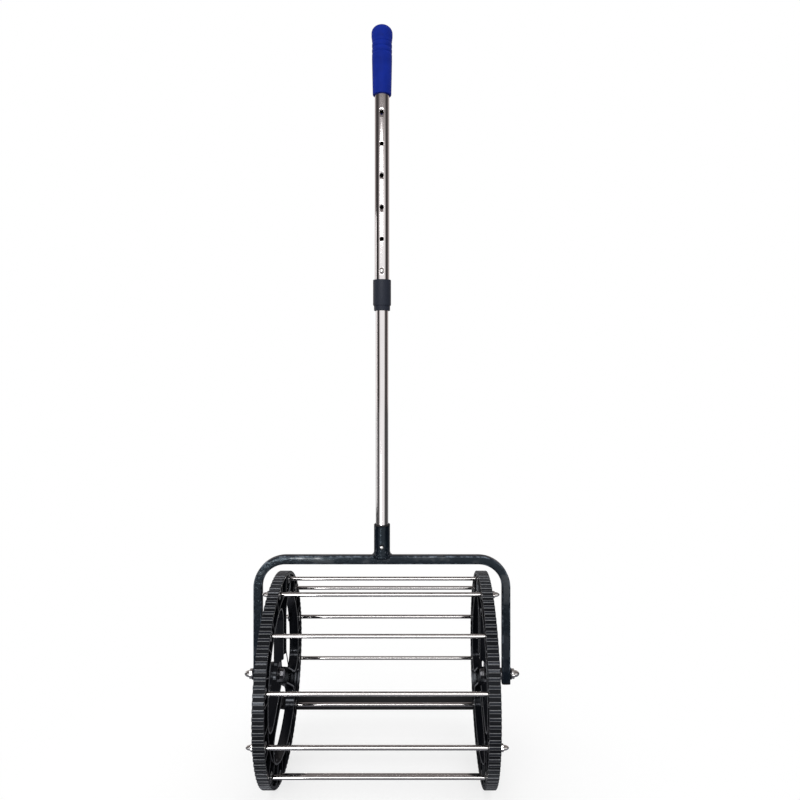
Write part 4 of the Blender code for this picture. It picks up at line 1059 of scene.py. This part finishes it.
def button(height, nose):
    """A pin with a rounded nose: its radius follows a flat ellipse from the crown down to the
    side, then a flange sits behind the tube's wall."""
    bow = quarter(10)[::-1]
    flange = math.sqrt((lower_radius - tube_wall) ** 2 - flange_radius ** 2) - 0.3 * MM
    radius = joined(0, button_radius * np.cos(bow[1:]) ** 0.7, button_radius,
                    flange_radius - mm(0.2, 0, 0, 0.2), 0)
    out = joined(nose - button_radius / 2 * (1 - np.sin(bow)), flange - mm(0, 0, 0.2, 0.8, 1, 1))
    return turned((radius, out), (0, 0, height), to_front, along_axle, 64)


for node, height in (("telescope_button", telescope_z), ("socket_button", socket_button_z)):
    nose = -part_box(node)[0][1]
    made = shell_piece(f"plated_{node}", [button(height, nose)], node, nut_chrome)
    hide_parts(node)


def leaf_finish():
    """Rolled spring steel: grey, with lines along the strip and a straw-coloured temper stain."""
    made, place = new_finish("leaf_steel", Metallic=1)
    drawn = place.stretched((900, 900, 8)).noise(1, 4, 0.65)
    colour = place.noise(120).above(0.45, 0.7).blend((0.42, 0.42, 0.44), (0.44, 0.38, 0.29))
    return fed(made, Base_Color=colour, Roughness=0.26 + 0.2 * drawn,
               Normal=drawn.relief(0.00001, 0.5))


leaf_steel = leaf_finish()
dress("telescope_spring", leaf_steel)
dress("socket_spring", leaf_steel)


# ----------------------------------------
# Studio. A pale floor under plain soft light, and a camera in front, a little above the bail.

def ray_kinds(place):
    """Whether a ray comes straight from the camera, and whether it comes off gloss or metal."""
    path = place.node("ShaderNodeLightPath").socket.node.outputs
    return Wire(path[0]), Wire(path[3])


def studio_floor():
    """A wide pale floor. The camera sees it white with a faint soft shadow. Metal sees it white
    far out in front, paler behind and dim near by, and it throws back only part of the light."""
    line = np.linspace(-6, 6, 25)
    x, y = np.meshgrid(line, line, indexing="ij")
    points, faces = grid_shell(np.stack([x, y, 0 * x], axis=-1))
    mesh = bpy.data.meshes.new("studio_floor")
    mesh.from_pydata(points.tolist(), [], faces.tolist())
    floor = placed("studio_floor", mesh)
    made, place = new_finish("floor_white", Roughness=0.9, Specular_IOR_Level=0)
    camera_ray, glossy_ray = ray_kinds(place)
    distance = place.node("ShaderNodeVectorMath", {"operation": "LENGTH"}, {0: place}, output=1)
    mirrored = distance.above(0.35, 1).blend((0.17, 0.17, 0.19), (0.06, 0.06, 0.06))
    lit = glossy_ray.blend((0.22, 0.22, 0.22), mirrored)
    fed(made, Base_Color=camera_ray.blend(lit, (0.96, 0.96, 0.96)))
    _, y, _ = place.axes()
    facing = y / (distance + 0.001)
    ahead = (-1 * facing).above(0.45, 0.90) + 0.2 * facing.above(0.10, 0.85)
    share = camera_ray * (0.7 + 0.3 * distance.above(0.20, 0.60))
    share = share + glossy_ray * ahead * distance.above(0.35, 1.1)
    white = place.node("ShaderNodeEmission", {}, {"Color": (1, 1, 1, 1), "Strength": 1})
    tree = made.node_tree
    plain = Wire(tree.nodes["Principled BSDF"].outputs[0])
    mixed = place.node("ShaderNodeMixShader", {}, {0: share, 1: plain, 2: white})
    tree.links.new(mixed.socket, tree.nodes["Material Output"].inputs["Surface"])
    floor.data.materials.append(made)


def studio_world():
    """Even light for surfaces and plain white to the camera. Reflections see white round the
    camera, a paler wall behind on both sides, and a dark room between them."""
    world = bpy.data.worlds.new("studio")
    bpy.context.scene.world = world
    world.use_nodes = True
    background = world.node_tree.nodes["Background"]
    place = Wire(background.outputs[0]).node("ShaderNodeTexCoord")
    x, y, z = place.axes()
    front = (0.25 * z - 0.95 * y + 0.08 * x).above(0.42, 0.86) * (1 - 0.9 * z.above(0.19, 0.42))
    behind = y.above(0.10, 0.85) * (0.30 + 0.70 * abs(x).above(0.20, 0.50))
    room = 0.04 + 0.12 * z.above(0.25, 0.80) + 0.92 * front + 0.50 * behind
    camera_ray, glossy_ray = ray_kinds(place)
    level = 0.95 * (1 - glossy_ray) + room * glossy_ray
    level = level * (1 - camera_ray) + camera_ray
    warm = glossy_ray * (1 - front) * (1 - camera_ray)
    tint = warm.blend((1, 1, 1), (1, 0.90, 0.88))
    for wire, socket in ((level, "Strength"), (tint, "Color")):
        world.node_tree.links.new(wire.socket, background.inputs[socket])


def soft_lamp(name, place, towards, size, power, mirrored=True):
    """A soft lamp of a width and height at a place, turned to face a point. One that isn't
    mirrored lights the object, but metal and gloss don't show it."""
    light = bpy.data.lights.new(name, "AREA")
    light.shape, light.energy = "RECTANGLE", power
    light.size, light.size_y = size
    lamp = placed(name, light)
    x, y, z = np.subtract(place, towards)
    lamp.location = place
    lamp.rotation_euler = (math.atan2(math.hypot(x, y), z), 0, math.atan2(y, x) + math.pi / 2)
    lamp.visible_glossy = mirrored


studio_floor()
studio_world()
soft_lamp("key", (-0.25, -2.3, 1.5), (0, 0, 0.35), (1.7, 0.45), 14)
soft_lamp("low", (-0.42, -1.35, 0.14), (-0.1, 0, 0.35), (0.28, 0.24), 2)
soft_lamp("rim", (-1.6, 0.55, 0.6), (0, 0, 0.35), (0.5, 1.2), 3)
soft_lamp("top", (0.1, 0.1, 2.8), (0, 0, 0.2), (0.7, 0.7), 3, mirrored=False)

# The camera's focal length and its axis, in pixels of a picture this wide.
picture_width = 800
focal_pixels = 670
axis_across, axis_down = 414, 358.6
lens = bpy.data.cameras.new("photo_view")
lens.sensor_width = 36
lens.lens = 36 * focal_pixels / picture_width
lens.shift_x = (picture_width / 2 - axis_across) / picture_width
lens.shift_y = (axis_down - picture_width / 2) / picture_width
lens.clip_start, lens.clip_end = 0.05, 60
camera = placed("photo_view", lens)
camera.location = (0.0488, -1.023, 0.631)
camera.rotation_euler = (math.pi / 2, 0, 0)
bpy.context.scene.camera = camera
bpy.context.scene.view_settings.view_transform = "Standard"
